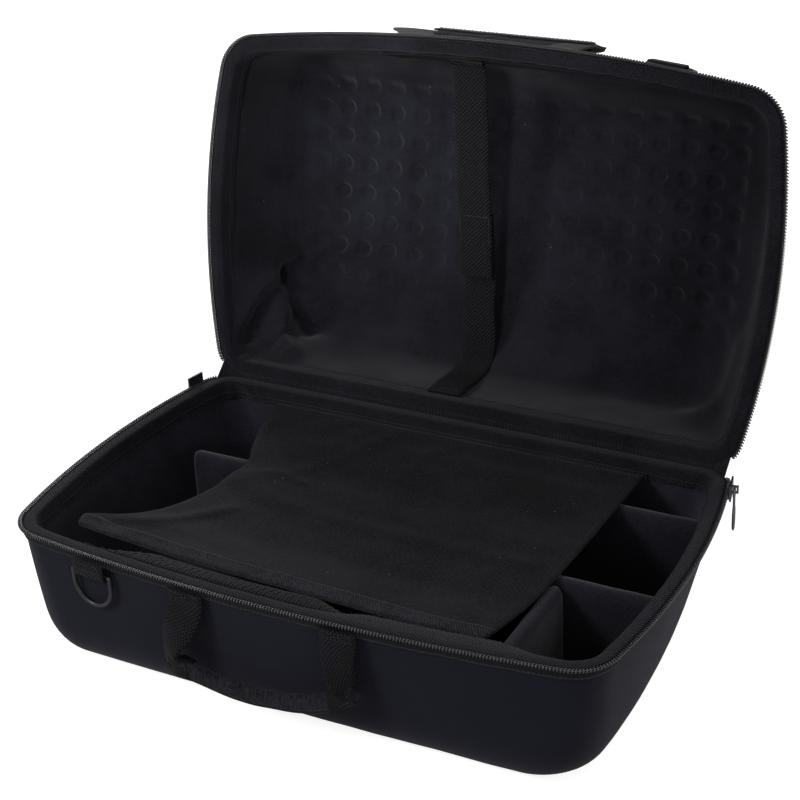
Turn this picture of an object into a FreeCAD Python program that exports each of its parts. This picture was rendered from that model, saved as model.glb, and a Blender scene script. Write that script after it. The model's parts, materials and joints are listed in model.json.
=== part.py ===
"""Zip-up carry case: two moulded foam halves joined by a fabric hinge, shown with the lid open.

Frame: X runs left to right along the front, Y from the front to the hinge, Z up. The origin is on the
floor, under the middle of the base. Everything on the lid is drawn with the lid closed and then turned
open about the hinge line by its Placement. Lengths are millimetres, angles degrees.
"""
import FreeCAD, Part
import math
import os
import re
from collections import namedtuple

import Sketcher
from FreeCAD import Placement, Rotation, Vector

os.makedirs("parts", exist_ok=True)
doc = FreeCAD.newDocument("carry_case")

# ---------------------------------------------------------------------------------------------------
# Driving sizes
# ---------------------------------------------------------------------------------------------------
SIZES = (
    ("case_length", 415, "side to side where the side walls are fullest"),
    ("case_width", 250, "front to rear at the rims"),
    ("base_height", 86.5, "floor to the base's rim"),
    ("lid_height", 84, "lid's rim to its crown"),
    ("seam_gap", 3, "between the two rims when the case is closed"),
    ("open_angle", 103.7, "how far the lid stands open"),
    ("side_bulge", 10.5, "how far each side wall bows out"),
    ("front_bulge", 14.5, "how far the front wall bows out"),
    ("floor_bulge_share", 0.12, "share of the bulge that is left at the floor"),
    ("rear_taper", 6, "each side comes in this much from front to rear at the rim"),
    ("floor_taper", 22, "the same at the floor"),
    ("front_corner_radius", 26, "plan radius of the front corners at the rim"),
    ("rear_corner_radius", 20, "plan radius of the rear corners at the rim"),
    ("floor_corner_radius", 44, "plan radius of the corners at the floor"),
    ("base_side_draft", 17.5, "base's side walls lean in this much from rim to floor"),
    ("base_end_draft", 2.5, "base's front and rear walls lean in this much"),
    ("lid_side_draft", 28.5, "lid's side walls lean in this much from rim to crown"),
    ("lid_end_draft", 15, "lid's front and rear walls lean in this much"),
    ("bottom_round", 35.5, "radius between the walls and the floor"),
    ("shell_thickness", 5.5, "laminated foam"),
    ("lining_thickness", 1.2, "loose inner fabric"),
    ("binding_thickness", 1.0, "woven tape over the rim"),
    ("binding_skirt", 11.5, "how far the tape reaches down inside"),
    ("ply_gap", 0.3, "between one layer and the next"),
    ("tape_height", 5, "zipper tape sewn to the outside of the rim"),
    ("tape_thickness", 0.8, "zipper tape"),
    ("coil_size", 2.4, "nylon coil, across"),
    ("zipper_end_inset", 12, "zipper stops this far in front of the rear face"),
    ("hinge_offset", 1.5, "hinge line behind the rear face"),
    ("hinge_length", 350, "fabric hinge along the rear"),
    ("hinge_leaf", 18, "fabric hinge up and down each half"),
    ("hinge_thickness", 0.8, "fabric hinge"),
    ("rim_webbing_height", 25, "reinforcement inside each front rim"),
    ("rim_webbing_thickness", 1.2, "reinforcement inside each front rim"),
    ("pad_thickness", 10, "foam pad on the floor"),
    ("divider_top", 76, "tops of the dividers above the floor"),
    ("divider_thickness", 15, "long padded dividers"),
    ("cross_thickness", 12, "short padded dividers"),
    ("rear_divider_y", 70, "front face of the rear divider"),
    ("front_divider_y", -22, "front face of the front divider"),
    ("left_divider_y", 28, "front face of the left divider"),
    ("left_divider_x", -158, "left end of the left divider"),
    ("middle_cross_x", -100, "left face of the middle cross divider"),
    ("right_cross_x", 130, "left face of the right cross divider"),
    ("flap_rear_width", 280, "cover flap along its seam"),
    ("flap_left", -168, "front left corner of the cover flap"),
    ("flap_right", 122, "front right corner of the cover flap"),
    ("flap_front", -93, "front edge of the cover flap, in its middle"),
    ("flap_skew", 10, "the front edge runs this much further forward at its right end"),
    ("flap_thickness", 1.4, "doubled twill"),
    ("flap_hem", 10, "folded hem along the front edge"),
    ("hem_thickness", 0.8, "folded hem along the front edge"),
    ("webbing_width", 25, "straps and ring tabs"),
    ("webbing_thickness", 1.6, "straps and ring tabs"),
    ("ring_tab_x", -130, "middle of the base's ring tab"),
    ("lid_ring_tab_x", 121, "middle of the lid's ring tab"),
    ("ring_bar_depth", 11, "ring's bar from the rim"),
    ("ring_wire", 3.0, "wire of the ring"),
    ("ring_half_width", 14.5, "middle of the ring to the middle of its wire"),
    ("ring_side", 8, "straight sides of the ring"),
    ("handle_x", -5, "middle of each handle"),
    ("handle_spread", 104, "between the middles of a handle's two straps"),
    ("handle_root", 12, "handle's hinge line from the rim"),
    ("handle_stand", 2.6, "handle's webbing out from the wall"),
    ("left_strap_end", 42, "lower end of the left strap above the floor"),
    ("right_strap_end", 50, "lower end of the right strap above the floor"),
    ("grip_low", 28, "lowest part of the hanging grip above the floor"),
    ("grip_width", 15, "grip, out from the wall"),
    ("grip_thickness", 3.2, "folded and bound webbing"),
    ("lid_strap_reach", 34, "legs of the lid handle, from root to grip"),
    ("lid_handle_rise", 12, "angle at which the stiff lid handle stands off the wall"),
    ("wrap_x", -5, "middle of the wrap round the lid handle"),
    ("wrap_length", 118, "wrap round the lid handle"),
    ("wrap_width", 30, "wrap, folded flat"),
    ("wrap_thickness", 7, "wrap, folded flat"),
    ("lid_strap_x", -17, "middle of the strap across the lid"),
    ("strap_anchor_depth", 10, "sewn end of that strap from the lid's rim"),
    ("strap_upper_length", 152, "upper half of the strap"),
    ("strap_overlap", 46, "hook and loop overlap of the two halves"),
    ("strap_foot_depth", 56, "lower half turns towards the rim this deep in the lid"),
    ("patch_thickness", 1.0, "hook and loop patches"),
    ("back_pad_thickness", 3.2, "dimpled pad on the lid's back"),
    ("dimple_pitch", 20, "between neighbouring dimples"),
    ("dimple_diameter", 12, "dimples"),
    ("dimple_depth", 1.6, "dimples"),
    ("slider_rest_y", 103, "where the sliders rest"),
    ("slider_length", 14, "zipper slider, along the zipper"),
    ("slider_height", 11, "zipper slider, across the zipper"),
    ("slider_plate", 1.2, "zipper slider"),
    ("slider_play", 0.35, "between slider and coil"),
    ("bail_height", 4.0, "bail out from the slider's face"),
    ("bail_wire", 1.2, "bail"),
    ("bail_half_span", 2.7, "middle of the bail to its outer face"),
    ("pull_length", 30, "zipper pull"),
    ("pull_width", 8, "zipper pull"),
    ("pull_thickness", 1.3, "zipper pull"),
)
sheet = doc.addObject("Spreadsheet::Sheet", "sizes")
for row, (alias, number, note) in enumerate(SIZES, start=1):
    sheet.set(f"A{row}", alias)
    sheet.set(f"B{row}", str(number))
    sheet.set(f"C{row}", note)
    sheet.setAlias(f"B{row}", alias)
doc.recompute()


def size(alias):
    return float(sheet.get(alias))


# ---------------------------------------------------------------------------------------------------
# The moulded form that both halves share
# ---------------------------------------------------------------------------------------------------
Half = namedtuple("Half", "name rim way depth side_draft end_draft")
BASE = Half("base", size("base_height"), -1, size("base_height"),
            size("base_side_draft"), size("base_end_draft"))
LID = Half("lid", size("base_height") + size("seam_gap"), 1, size("lid_height"),
           size("lid_side_draft"), size("lid_end_draft"))
ROUND_STEPS = 6
SUBPARTS = []

hinge_y = size("case_width") / 2 + size("hinge_offset")
hinge_z = size("base_height") + size("seam_gap") / 2
hinge_point = Vector(0, hinge_y, hinge_z)
closed_to_hinge = Placement(hinge_point * -1, Rotation())
LID_OPEN = Placement(hinge_point, Rotation(Vector(1, 0, 0), -size("open_angle")))


# The plan corners at the floor stay wider than the rounding that runs into them.
floor_corner = max(size("floor_corner_radius"), size("bottom_round") + 3)


def arc_radius(half_chord, sagitta):
    return (half_chord ** 2 + sagitta ** 2) / (2 * sagitta)


def circles_meet(first, first_radius, second, second_radius):
    """Of the two points at these distances from two centres, the one nearer the front right."""
    apart = second - first
    along = (first_radius ** 2 - second_radius ** 2 + apart.Length ** 2) / (2 * apart.Length)
    across = math.sqrt(first_radius ** 2 - along ** 2)
    unit = Vector(apart).normalize()
    foot = first + unit * along
    sideways = Vector(-unit.y, unit.x, 0) * across
    return max((foot + sideways, foot - sideways), key=lambda point: point.x - point.y)


def side_circle(half, depth):
    """Centre and radius of the right side wall's outer arc."""
    share = depth / half.depth
    fade = 1 - (1 - size("floor_bulge_share")) * share
    bulge = size("side_bulge") * fade
    taper = size("rear_taper") + (size("floor_taper") - size("rear_taper")) * share
    reach_x = size("case_length") / 2 - half.side_draft * share
    reach_y = size("case_width") / 2 - half.end_draft * share
    front = Vector(reach_x - bulge, -reach_y + size("front_bulge") * fade, 0)
    rear = Vector(reach_x - bulge - taper, reach_y, 0)
    chord = rear - front
    sagitta = bulge + taper / 2
    radius = arc_radius(chord.Length / 2, sagitta)
    outward = Vector(chord.y, -chord.x, 0).normalize()
    return (front + rear) / 2 + outward * (sagitta - radius), radius, front


def outline(half, depth, inset):
    """Closed plan outline this deep below the rim, this far in from the moulded outside."""
    share = depth / half.depth
    fade = 1 - (1 - size("floor_bulge_share")) * share
    rear_y = size("case_width") / 2 - half.end_draft * share
    side_centre, side_radius, corner = side_circle(half, depth)
    front_radius = arc_radius(corner.x, size("front_bulge") * fade)
    front_centre = Vector(0, front_radius - rear_y, 0)
    floor_radius = floor_corner
    front_corner = size("front_corner_radius") * (1 - share) + floor_radius * share
    rear_corner = size("rear_corner_radius") * (1 - share) + floor_radius * share
    front_hub = circles_meet(front_centre, front_radius - front_corner,
                             side_centre, side_radius - front_corner)
    rear_hub_y = rear_y - rear_corner
    run = math.sqrt((side_radius - rear_corner) ** 2 - (rear_hub_y - side_centre.y) ** 2)
    rear_hub = Vector(side_centre.x + run, rear_hub_y, 0)

    to_front = (front_hub - front_centre).normalize()
    to_side_front = (front_hub - side_centre).normalize()
    to_side_rear = (rear_hub - side_centre).normalize()
    to_rear = Vector(0, 1, 0)
    height = Vector(0, 0, half.rim + half.way * depth)

    def on_circle(centre, radius, direction):
        return centre + Vector(direction).normalize() * (radius - inset) + height

    start = on_circle(front_centre, front_radius, to_front)
    right = [
        (on_circle(front_hub, front_corner, to_front + to_side_front),
         on_circle(front_hub, front_corner, to_side_front)),
        (on_circle(side_centre, side_radius, to_side_front + to_side_rear),
         on_circle(side_centre, side_radius, to_side_rear)),
        (on_circle(rear_hub, rear_corner, to_side_rear + to_rear),
         on_circle(rear_hub, rear_corner, to_rear)),
    ]

    def mirrored(point):
        return Vector(-point.x, point.y, point.z)

    edges = [Part.Arc(mirrored(start), on_circle(front_centre, front_radius, Vector(0, -1, 0)), start)]
    here = start
    for middle, end in right:
        edges.append(Part.Arc(here, middle, end))
        here = end
    edges.append(Part.LineSegment(here, mirrored(here)))
    backwards = [start] + [end for _, end in right]
    for index in range(len(right) - 1, -1, -1):
        edges.append(Part.Arc(mirrored(right[index][1]), mirrored(right[index][0]),
                              mirrored(backwards[index])))
    return Part.Wire([edge.toShape() for edge in edges])


def closed_solid(faces):
    """One solid from faces that meet along their edges."""
    skin = Part.makeCompound(faces)
    skin.sewShape()
    solid = Part.Solid(skin.Shells[0])
    if solid.Volume < 0:
        solid.reverse()
    return solid


def moulded(half, path, ring):
    """Solid bounded by outlines at each (inset, depth) of the path; a ring closes on its first one."""
    wires = [outline(half, depth, inset) for inset, depth in path]
    pairs = list(zip(wires, wires[1:] + wires[:1])) if ring else list(zip(wires, wires[1:]))
    faces = [face for pair in pairs for face in Part.makeLoft(list(pair), False, True).Faces]
    if not ring:
        faces += [Part.Face(wires[0]), Part.Face(wires[-1])]
    return closed_solid(faces)


def wall_path(half, inset, start):
    """Insets and depths down the wall and round into the floor."""
    radius = size("bottom_round")
    straight = half.depth - radius
    path = [(inset, start), (inset, straight)]
    for step in range(1, ROUND_STEPS + 1):
        turn = math.pi / 2 * step / ROUND_STEPS
        path.append((inset + (radius - inset) * (1 - math.cos(turn)),
                     straight + (radius - inset) * math.sin(turn)))
    return path


def vessel(half, outer_inset, inner_inset, start):
    """An open tray of the moulded form, between two insets."""
    path = list(reversed(wall_path(half, outer_inset, start))) + wall_path(half, inner_inset, start)
    return moulded(half, path, ring=False)


# ---------------------------------------------------------------------------------------------------
# Helpers that add named objects to the document
# ---------------------------------------------------------------------------------------------------
ALIASES = {alias for alias, _, _ in SIZES}


def bound(text):
    """The same formula with every size taken from the sheet."""
    return re.sub(r"[a-z_]+", lambda word: "sizes." + word[0] if word[0] in ALIASES else word[0], text)


def keep(item, half, local=Placement(), node=True):
    """Place an object; whole lid pieces are turned open about the hinge line."""
    item.Label = item.Name
    turned = LID_OPEN * closed_to_hinge if half is LID and node else Placement()
    item.Placement = turned * local
    if node:
        SUBPARTS.append(item)
    return item


def feature(name, shape, half, node=True):
    item = doc.addObject("Part::Feature", name)
    item.Shape = shape
    return keep(item, half, node=node)


def box(name, lengths, half, corner, turn=Rotation(), node=True):
    """Box whose three lengths are formulas of the sizes."""
    item = doc.addObject("Part::Box", name)
    for side, formula in zip(("Length", "Width", "Height"), lengths):
        item.setExpression(side, bound(formula))
    return keep(item, half, Placement(corner, turn), node=node)


def boolean(kind, name, first, second, half):
    item = doc.addObject(f"Part::{kind}", name)
    item.Base = first
    item.Tool = second
    return keep(item, half)


def new_sketch(body, plane):
    sketch = body.newObject("Sketcher::SketchObject", body.Name + "_profile")
    support = next(part for part in body.Origin.OriginFeatures if part.Role == plane)
    sketch.AttachmentSupport = [(support, "")]
    sketch.MapMode = "FlatFace"
    return sketch


def pin(sketch, kind, edge, formula):
    index = sketch.addConstraint(Sketcher.Constraint(kind, -1, 1, edge, 1, 1.0))
    sketch.setExpression(f"Constraints[{index}]", bound(formula))


def draw_polygon(sketch, corners):
    """Closed polygon; each corner is a pair of formulas of the sizes."""
    first = sketch.GeometryCount
    count = len(corners)
    for index in range(count):
        turn = 2 * math.pi * index / count
        following = 2 * math.pi * (index + 1) / count
        sketch.addGeometry(Part.LineSegment(Vector(math.cos(turn), math.sin(turn), 0),
                                            Vector(math.cos(following), math.sin(following), 0)))
    for index in range(count):
        sketch.addConstraint(Sketcher.Constraint("Coincident", first + index, 2,
                                                 first + (index + 1) % count, 1))
    for index, (across, along) in enumerate(corners):
        pin(sketch, "DistanceX", first + index, across)
        pin(sketch, "DistanceY", first + index, along)


def padded(name, half, plane, loops, length, local, symmetric=True, node=True):
    """PartDesign body: closed polygons drawn on one of its planes and padded."""
    body = doc.addObject("PartDesign::Body", name)
    sketch = new_sketch(body, plane)
    for corners in loops:
        draw_polygon(sketch, corners)
    pad = body.newObject("PartDesign::Pad", name + "_pad")
    pad.Profile = sketch
    pad.setExpression("Length", bound(length))
    pad.SideType = "Symmetric" if symmetric else "One side"
    body.Tip = pad
    return keep(body, half, local, node=node)


def spline_band(name, half, path, thickness, length, local):
    """PartDesign body: a smooth band of even thickness along a path in the XZ plane."""
    curve = Part.BSplineCurve()
    curve.interpolate([Vector(across, along, 0) for across, along in path])
    stops = [curve.FirstParameter + (curve.LastParameter - curve.FirstParameter) * step / 12
             for step in range(13)]
    sides = []
    for way in (1, -1):
        points = []
        for stop in stops:
            slope = curve.tangent(stop)[0]
            points.append(curve.value(stop) + Vector(-slope.y, slope.x, 0) * way * thickness / 2)
        side = Part.BSplineCurve()
        side.interpolate(points[::way])
        sides.append(side)
    body = doc.addObject("PartDesign::Body", name)
    sketch = new_sketch(body, "XZ_Plane")
    sketch.addGeometry(sides[0])
    sketch.addGeometry(Part.LineSegment(sides[0].EndPoint, sides[1].StartPoint))
    sketch.addGeometry(sides[1])
    sketch.addGeometry(Part.LineSegment(sides[1].EndPoint, sides[0].StartPoint))
    pad = body.newObject("PartDesign::Pad", name + "_pad")
    pad.Profile = sketch
    pad.setExpression("Length", bound(length))
    pad.SideType = "Symmetric"
    body.Tip = pad
    return keep(body, half, local)


def front_wall(half, x, depth):
    """Moulded outside of the front wall, and its outward turn in plan, at this x and depth."""
    share = depth / half.depth
    fade = 1 - (1 - size("floor_bulge_share")) * share
    reach = size("case_width") / 2 - half.end_draft * share
    corner = side_circle(half, depth)[2]
    radius = arc_radius(corner.x, size("front_bulge") * fade)
    y = radius - reach - math.sqrt(radius ** 2 - x ** 2)
    return Vector(x, y, half.rim + half.way * depth), math.degrees(math.asin(x / radius))


def clipped(shape, low, high):
    """The part of a shape between two opposite corners."""
    span = high - low
    return shape.common(Part.makeBox(span.x, span.y, span.z, low))


# ---------------------------------------------------------------------------------------------------
# Both halves: shell, lining, rim trim, zipper, fabric hinge
# ---------------------------------------------------------------------------------------------------
gap = size("ply_gap")
far = size("case_length")
lining_out = size("shell_thickness") + gap
lining_in = lining_out + size("lining_thickness")
skirt_out = lining_in + gap
skirt_in = skirt_out + size("binding_thickness")
webbing_out = skirt_in + gap
webbing_in = webbing_out + size("rim_webbing_thickness")
under_tape = size("binding_thickness") + gap
tape_low = under_tape + size("tape_height")
tape_face = -gap - size("tape_thickness")
coil_low = under_tape - gap
coil_high = coil_low - size("coil_size")
coil_face = tape_face - size("coil_size")
zipper_rear = size("case_width") / 2 - size("zipper_end_inset")


def ring(name, half, corners, low=Vector(-far, -far, -far), high=Vector(far, far, far)):
    """Trim that follows the moulded outline; its section is given as insets and depths."""
    return feature(name, clipped(moulded(half, corners, ring=True), low, high), half)


def rectangle(out, into, low, high):
    return [(out, low), (into, low), (into, high), (out, high)]


for half in (BASE, LID):
    feature(f"{half.name}_shell", vessel(half, 0, size("shell_thickness"), under_tape), half)
    feature(f"{half.name}_lining", vessel(half, lining_out, lining_in, under_tape), half)
    ring(f"{half.name}_binding", half,
         [(-0.2, 0), (skirt_in, 0), (skirt_in, size("binding_skirt")), (skirt_out, size("binding_skirt")),
          (skirt_out, size("binding_thickness")), (-0.2, size("binding_thickness"))])
    front_only = Vector(far, zipper_rear, far)
    ring(f"{half.name}_zipper_tape", half, rectangle(tape_face, -gap, under_tape, tape_low),
         high=front_only)
    ring(f"{half.name}_zipper_coil", half, rectangle(coil_face, tape_face + 0.1, coil_high, coil_low),
         high=front_only)
    leaf_half = size("hinge_length") / 2
    ring(f"{half.name}_hinge_leaf", half,
         rectangle(-gap - size("hinge_thickness"), -gap, -gap, size("hinge_leaf")),
         low=Vector(-leaf_half, 0, -far), high=Vector(leaf_half, far, far))

hinge_roll = doc.addObject("Part::Cylinder", "hinge_roll")
hinge_roll.setExpression("Radius", bound("hinge_thickness"))
hinge_roll.setExpression("Height", bound("hinge_length"))
keep(hinge_roll, BASE, Placement(Vector(-size("hinge_length") / 2, hinge_y, hinge_z),
                                 Rotation(Vector(0, 1, 0), 90)))

for half, left, right in ((BASE, -145, 62), (LID, -80, 140)):
    ring(f"{half.name}_rim_webbing", half,
         rectangle(webbing_out, webbing_in, 2, 2 + size("rim_webbing_height")),
         low=Vector(left, -far, -far), high=Vector(right, 0, far))

# ---------------------------------------------------------------------------------------------------
# Inside the base: floor pad, dividers, cover flap
# ---------------------------------------------------------------------------------------------------
floor_radius = size("bottom_round") - lining_in
pad_low = lining_in + gap
pad_top = pad_low + size("pad_thickness")


def floor_inset(height):
    """Inset of the lining's rounding at this height above the lining's floor."""
    return size("bottom_round") - math.sqrt(floor_radius ** 2 - (floor_radius - height) ** 2)


feature("floor_pad", moulded(BASE, [
    (size("bottom_round") - 2, BASE.depth - pad_low),
    (floor_inset(pad_top - lining_in) + 1.5, BASE.depth - pad_top)], ring=False), BASE)

room_inset = skirt_in + gap


def room():
    """Space inside the base that the dividers are trimmed to."""
    inside = moulded(BASE, wall_path(BASE, room_inset, under_tape), ring=False)
    return feature("room", inside, BASE, node=False)


divider_low = pad_top + gap


def divider(name, along_x, length, thickness, corner):
    """Padded divider with a round top, trimmed to the walls; lengths are formulas of the sizes."""
    slab = doc.addObject("Part::Box", name + "_slab")
    for side, formula in (("Length", length), ("Width", thickness)) if along_x else \
                         (("Length", thickness), ("Width", length)):
        slab.setExpression(side, bound(formula))
    slab.setExpression("Height", bound(f"divider_top - {divider_low} - {thickness} / 2"))
    keep(slab, BASE, Placement(corner, Rotation()), node=False)
    radius = size(thickness) / 2
    crest = size("divider_top") - radius
    top = doc.addObject("Part::Cylinder", name + "_top")
    top.setExpression("Radius", bound(f"{thickness} / 2"))
    top.setExpression("Height", bound(length))
    if along_x:
        spot = Placement(Vector(corner.x, corner.y + radius, crest), Rotation(Vector(0, 1, 0), 90))
    else:
        spot = Placement(Vector(corner.x + radius, corner.y, crest), Rotation(Vector(1, 0, 0), -90))
    keep(top, BASE, spot, node=False)
    whole = doc.addObject("Part::MultiFuse", name + "_whole")
    whole.Shapes = [slab, top]
    whole.Refine = True
    return boolean("Common", name, whole, room(), BASE)


middle_x = size("middle_cross_x")
front_y = size("front_divider_y")
to_wall = f"case_length / 2 - ({middle_x})"
divider("rear_divider", True, to_wall, "divider_thickness",
        Vector(middle_x, size("rear_divider_y"), divider_low))
divider("front_divider", True, to_wall, "divider_thickness",
        Vector(middle_x, front_y, divider_low))
divider("left_divider", True, f"middle_cross_x - left_divider_x - {gap}", "divider_thickness",
        Vector(size("left_divider_x"), size("left_divider_y"), divider_low))
divider("middle_cross_divider", False,
        f"rear_divider_y - front_divider_y - divider_thickness - {2 * gap}", "cross_thickness",
        Vector(middle_x, front_y + size("divider_thickness") + gap, divider_low))
divider("right_cross_divider", False, f"case_width / 2 + front_divider_y - {gap}", "cross_thickness",
        Vector(size("right_cross_x"), -size("case_width") / 2, divider_low))

seam_y = size("case_width") / 2 - skirt_in - gap - 0.6
flap_z = size("divider_top") + gap
seam_thick = 1.6
box("flap_seam", ("flap_rear_width", str(seam_thick), "flap_thickness + 2.6"), BASE,
    Vector(-size("flap_rear_width") / 2, seam_y - seam_thick, flap_z - 1.3))
flap_hinge = Vector(0, seam_y - seam_thick - 1.1, flap_z + size("flap_thickness") / 2)
flap_start = "-0.3"
right_front = f"flap_front - flap_skew / 2 - ({flap_hinge.y})"
left_front = f"flap_front + flap_skew / 2 - ({flap_hinge.y})"
padded("cover_flap", BASE, "XY_Plane", [[
    ("-flap_rear_width / 2", flap_start), ("flap_left", left_front),
    ("flap_right", right_front), ("flap_rear_width / 2", flap_start)]],
    "flap_thickness", Placement(flap_hinge, Rotation()))
padded("flap_hem", BASE, "XY_Plane", [[
    ("flap_left", left_front), ("flap_right", right_front),
    ("flap_right", right_front + " + flap_hem"),
    ("flap_left + flap_hem / 6", left_front + " + flap_hem")]],
    "hem_thickness", Placement(flap_hinge + Vector(0, 0, size("flap_thickness") / 2 + 0.1), Rotation()),
    symmetric=False)

# ---------------------------------------------------------------------------------------------------
# Inside the lid: dimpled pad and strap
# ---------------------------------------------------------------------------------------------------
pad_back = LID.depth - lining_in - gap
pad_face = pad_back - size("back_pad_thickness")
pad_inset = min(size("bottom_round") + 4, floor_corner - 8)
back_pad = feature("lid_back_pad_blank",
                   moulded(LID, [(pad_inset, pad_back), (pad_inset, pad_face)], ring=False), LID, node=False)
dimples = doc.addObject("PartDesign::Body", "dimples")
dimple_sketch = new_sketch(dimples, "XY_Plane")
pitch = size("dimple_pitch")
for row in range(-3, 3):
    for column in range(-7, 7):
        spot = Vector((column + 0.5) * pitch, (row + 0.25) * pitch, 0)
        circle = dimple_sketch.addGeometry(Part.Circle(spot, Vector(0, 0, 1), size("dimple_diameter") / 2))
        radius_pin = dimple_sketch.addConstraint(Sketcher.Constraint("Diameter", circle, 10.0))
        dimple_sketch.setExpression(f"Constraints[{radius_pin}]", bound("dimple_diameter"))
dimple_pad = dimples.newObject("PartDesign::Pad", "dimples_pad")
dimple_pad.Profile = dimple_sketch
dimple_pad.setExpression("Length", bound("dimple_depth * 2"))
dimple_pad.SideType = "Symmetric"
dimples.Tip = dimple_pad
keep(dimples, LID, Placement(Vector(0, 0, LID.rim + pad_face), Rotation()), node=False)
boolean("Cut", "lid_back_pad", back_pad, dimples, LID)

strap_x = size("lid_strap_x")
web = size("webbing_thickness")
half_web = size("webbing_width") / 2
anchor_wall = front_wall(LID, strap_x - half_web, size("strap_anchor_depth"))[0].y + webbing_in + gap
anchor_thick = 1.6
box("lid_strap_anchor", ("webbing_width", str(anchor_thick), "strap_anchor_depth - 3"), LID,
    Vector(strap_x - half_web, anchor_wall, LID.rim + 3))
strap_top = Vector(strap_x, anchor_wall + anchor_thick + 1.1, LID.rim + size("strap_anchor_depth") + 1.25)
plumb = Rotation(Vector(1, 0, 0), size("open_angle") - 90)
hang = Placement(strap_top, plumb)
box_at = Vector(-half_web, -0.5, -web / 2)
box("lid_strap_upper", ("webbing_width", "strap_upper_length", "webbing_thickness"), LID,
    hang.multVec(box_at), plumb)
overlap_start = size("strap_upper_length") - size("strap_overlap")
patch = size("patch_thickness")
box("lid_strap_hook_patch", ("webbing_width - 2", "strap_overlap - 4", "patch_thickness"), LID,
    hang.multVec(Vector(-half_web + 1, overlap_start + 1, web / 2 + 0.1)), plumb)
box("lid_strap_loop_patch", ("webbing_width - 2", "strap_overlap - 4", "patch_thickness"), LID,
    hang.multVec(Vector(-half_web + 1, overlap_start + 1, web / 2 + 0.1 + patch + gap)), plumb)
lower_face = web / 2 + 0.1 + 2 * patch + gap + 0.1 + web / 2
lower_from = hang.multVec(Vector(0, overlap_start, lower_face))
lower_to = hang.multVec(Vector(0, size("strap_upper_length"), lower_face))
rear_inner = size("case_width") / 2 - skirt_in - gap
deep = LID.rim + size("strap_foot_depth")


def lean_at(depth):
    return LID.end_draft * depth / LID.depth


lower_path = [
    (lower_from.y, lower_from.z),
    (lower_to.y, lower_to.z),
    ((lower_to.y + rear_inner - 20) / 2, (lower_to.z + deep) / 2 + 2),
    (rear_inner - lean_at(size("strap_foot_depth")) - 7, deep + 1),
    (rear_inner - lean_at(size("strap_foot_depth") - 8) - 2.4, deep - 8),
    (rear_inner - lean_at(size("strap_foot_depth") - 24) - 2, deep - 24),
    (rear_inner - 1.8, LID.rim + 5),
]
spline_band("lid_strap_lower", LID, lower_path, web, "webbing_width",
            Placement(Vector(strap_x, 0, 0), Rotation(Vector(0, 0, 1), 90)))

# ---------------------------------------------------------------------------------------------------
# On the front walls: ring tabs, D-rings, handles
# ---------------------------------------------------------------------------------------------------
bar_out = 2 * gap + web + size("ring_wire") / 2
lid_lean = math.degrees(math.atan(LID.end_draft / LID.depth))


def ring_frame(half, x):
    """Middle of the ring's bar: X along the wall, Y inwards, Z towards the rim of the base."""
    wall, turn = front_wall(half, x, size("ring_bar_depth"))
    facing = Rotation(Vector(0, 0, 1), turn)
    if half is BASE:
        wall.y = front_wall(half, x, tape_low)[0].y
    else:
        facing = facing * Rotation(Vector(1, 0, 0), -lid_lean) * Rotation(Vector(0, 1, 0), 180)
    return Placement(wall + facing.multVec(Vector(0, -bar_out, 0)), facing)


def ring_tab(name, half, frame):
    """Webbing loop closed round the bar, with its sewn end towards the rim."""
    rise = f"ring_bar_depth - {tape_low + gap}"
    slot = f"ring_wire / 2 + {gap}"
    out = slot + " + webbing_thickness"
    bend = [math.radians(180 + 22.5 * step) for step in range(9)]

    def stadium(reach, top):
        arc = [(f"({reach}) * {math.cos(angle):.6f}", f"({reach}) * {math.sin(angle):.6f}") for angle in bend]
        return arc + [(reach, top), ("-(" + reach + ")", top)]

    padded(name, half, "YZ_Plane", [stadium(out, rise), stadium(slot, f"ring_wire / 2 + {gap} + 0.4")],
           "webbing_width", frame)


def d_ring(name, half, frame):
    parts = []

    def bar(suffix, length, local):
        rod = doc.addObject("Part::Cylinder", f"{name}_{suffix}")
        rod.setExpression("Radius", bound("ring_wire / 2"))
        rod.setExpression("Height", bound(length))
        rod.Placement = local
        parts.append(rod)

    reach = size("ring_half_width")
    bar("bar", "ring_half_width * 2", Placement(Vector(-reach, 0, 0), Rotation(Vector(0, 1, 0), 90)))
    for way, side in ((-1, "left"), (1, "right")):
        bar(side, "ring_side", Placement(Vector(way * reach, 0, -size("ring_side")), Rotation()))
        ball = doc.addObject("Part::Sphere", f"{name}_{side}_corner")
        ball.setExpression("Radius", bound("ring_wire / 2"))
        ball.Placement = Placement(Vector(way * reach, 0, 0), Rotation())
        parts.append(ball)
    bow = doc.addObject("Part::Torus", f"{name}_bow")
    bow.setExpression("Radius1", bound("ring_half_width"))
    bow.setExpression("Radius2", bound("ring_wire / 2"))
    bow.Angle3 = 180
    bow.Placement = Placement(Vector(0, 0, -size("ring_side")), Rotation(Vector(1, 0, 0), -90))
    parts.append(bow)
    whole = doc.addObject("Part::MultiFuse", name)
    whole.Shapes = parts
    keep(whole, half, frame)


handle_left = size("handle_x") - size("handle_spread") / 2
handle_right = size("handle_x") + size("handle_spread") / 2
stand = size("handle_stand")
top_clear = 0.5
root_clear = 1.25


def handle_roots(half):
    """Hinge line of a handle, and the two sewn ends above it."""
    wall_y = front_wall(half, 0, size("handle_root"))[0].y
    line = Vector(0, wall_y - stand, half.rim + half.way * size("handle_root"))
    height = size("handle_root") - root_clear - tape_low - gap
    low = min(half.rim + half.way * (tape_low + gap), half.rim + half.way * (size("handle_root") - root_clear))
    for side, x in (("left", handle_left), ("right", handle_right)):
        behind = front_wall(half, max(abs(x) - half_web, 0), tape_low)[0].y - gap
        front = line.y - web / 2
        box(f"{half.name}_handle_{side}_root", ("webbing_width", str(behind - front), str(height)), half,
            Vector(x - half_web, front, low))
    return line


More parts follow.
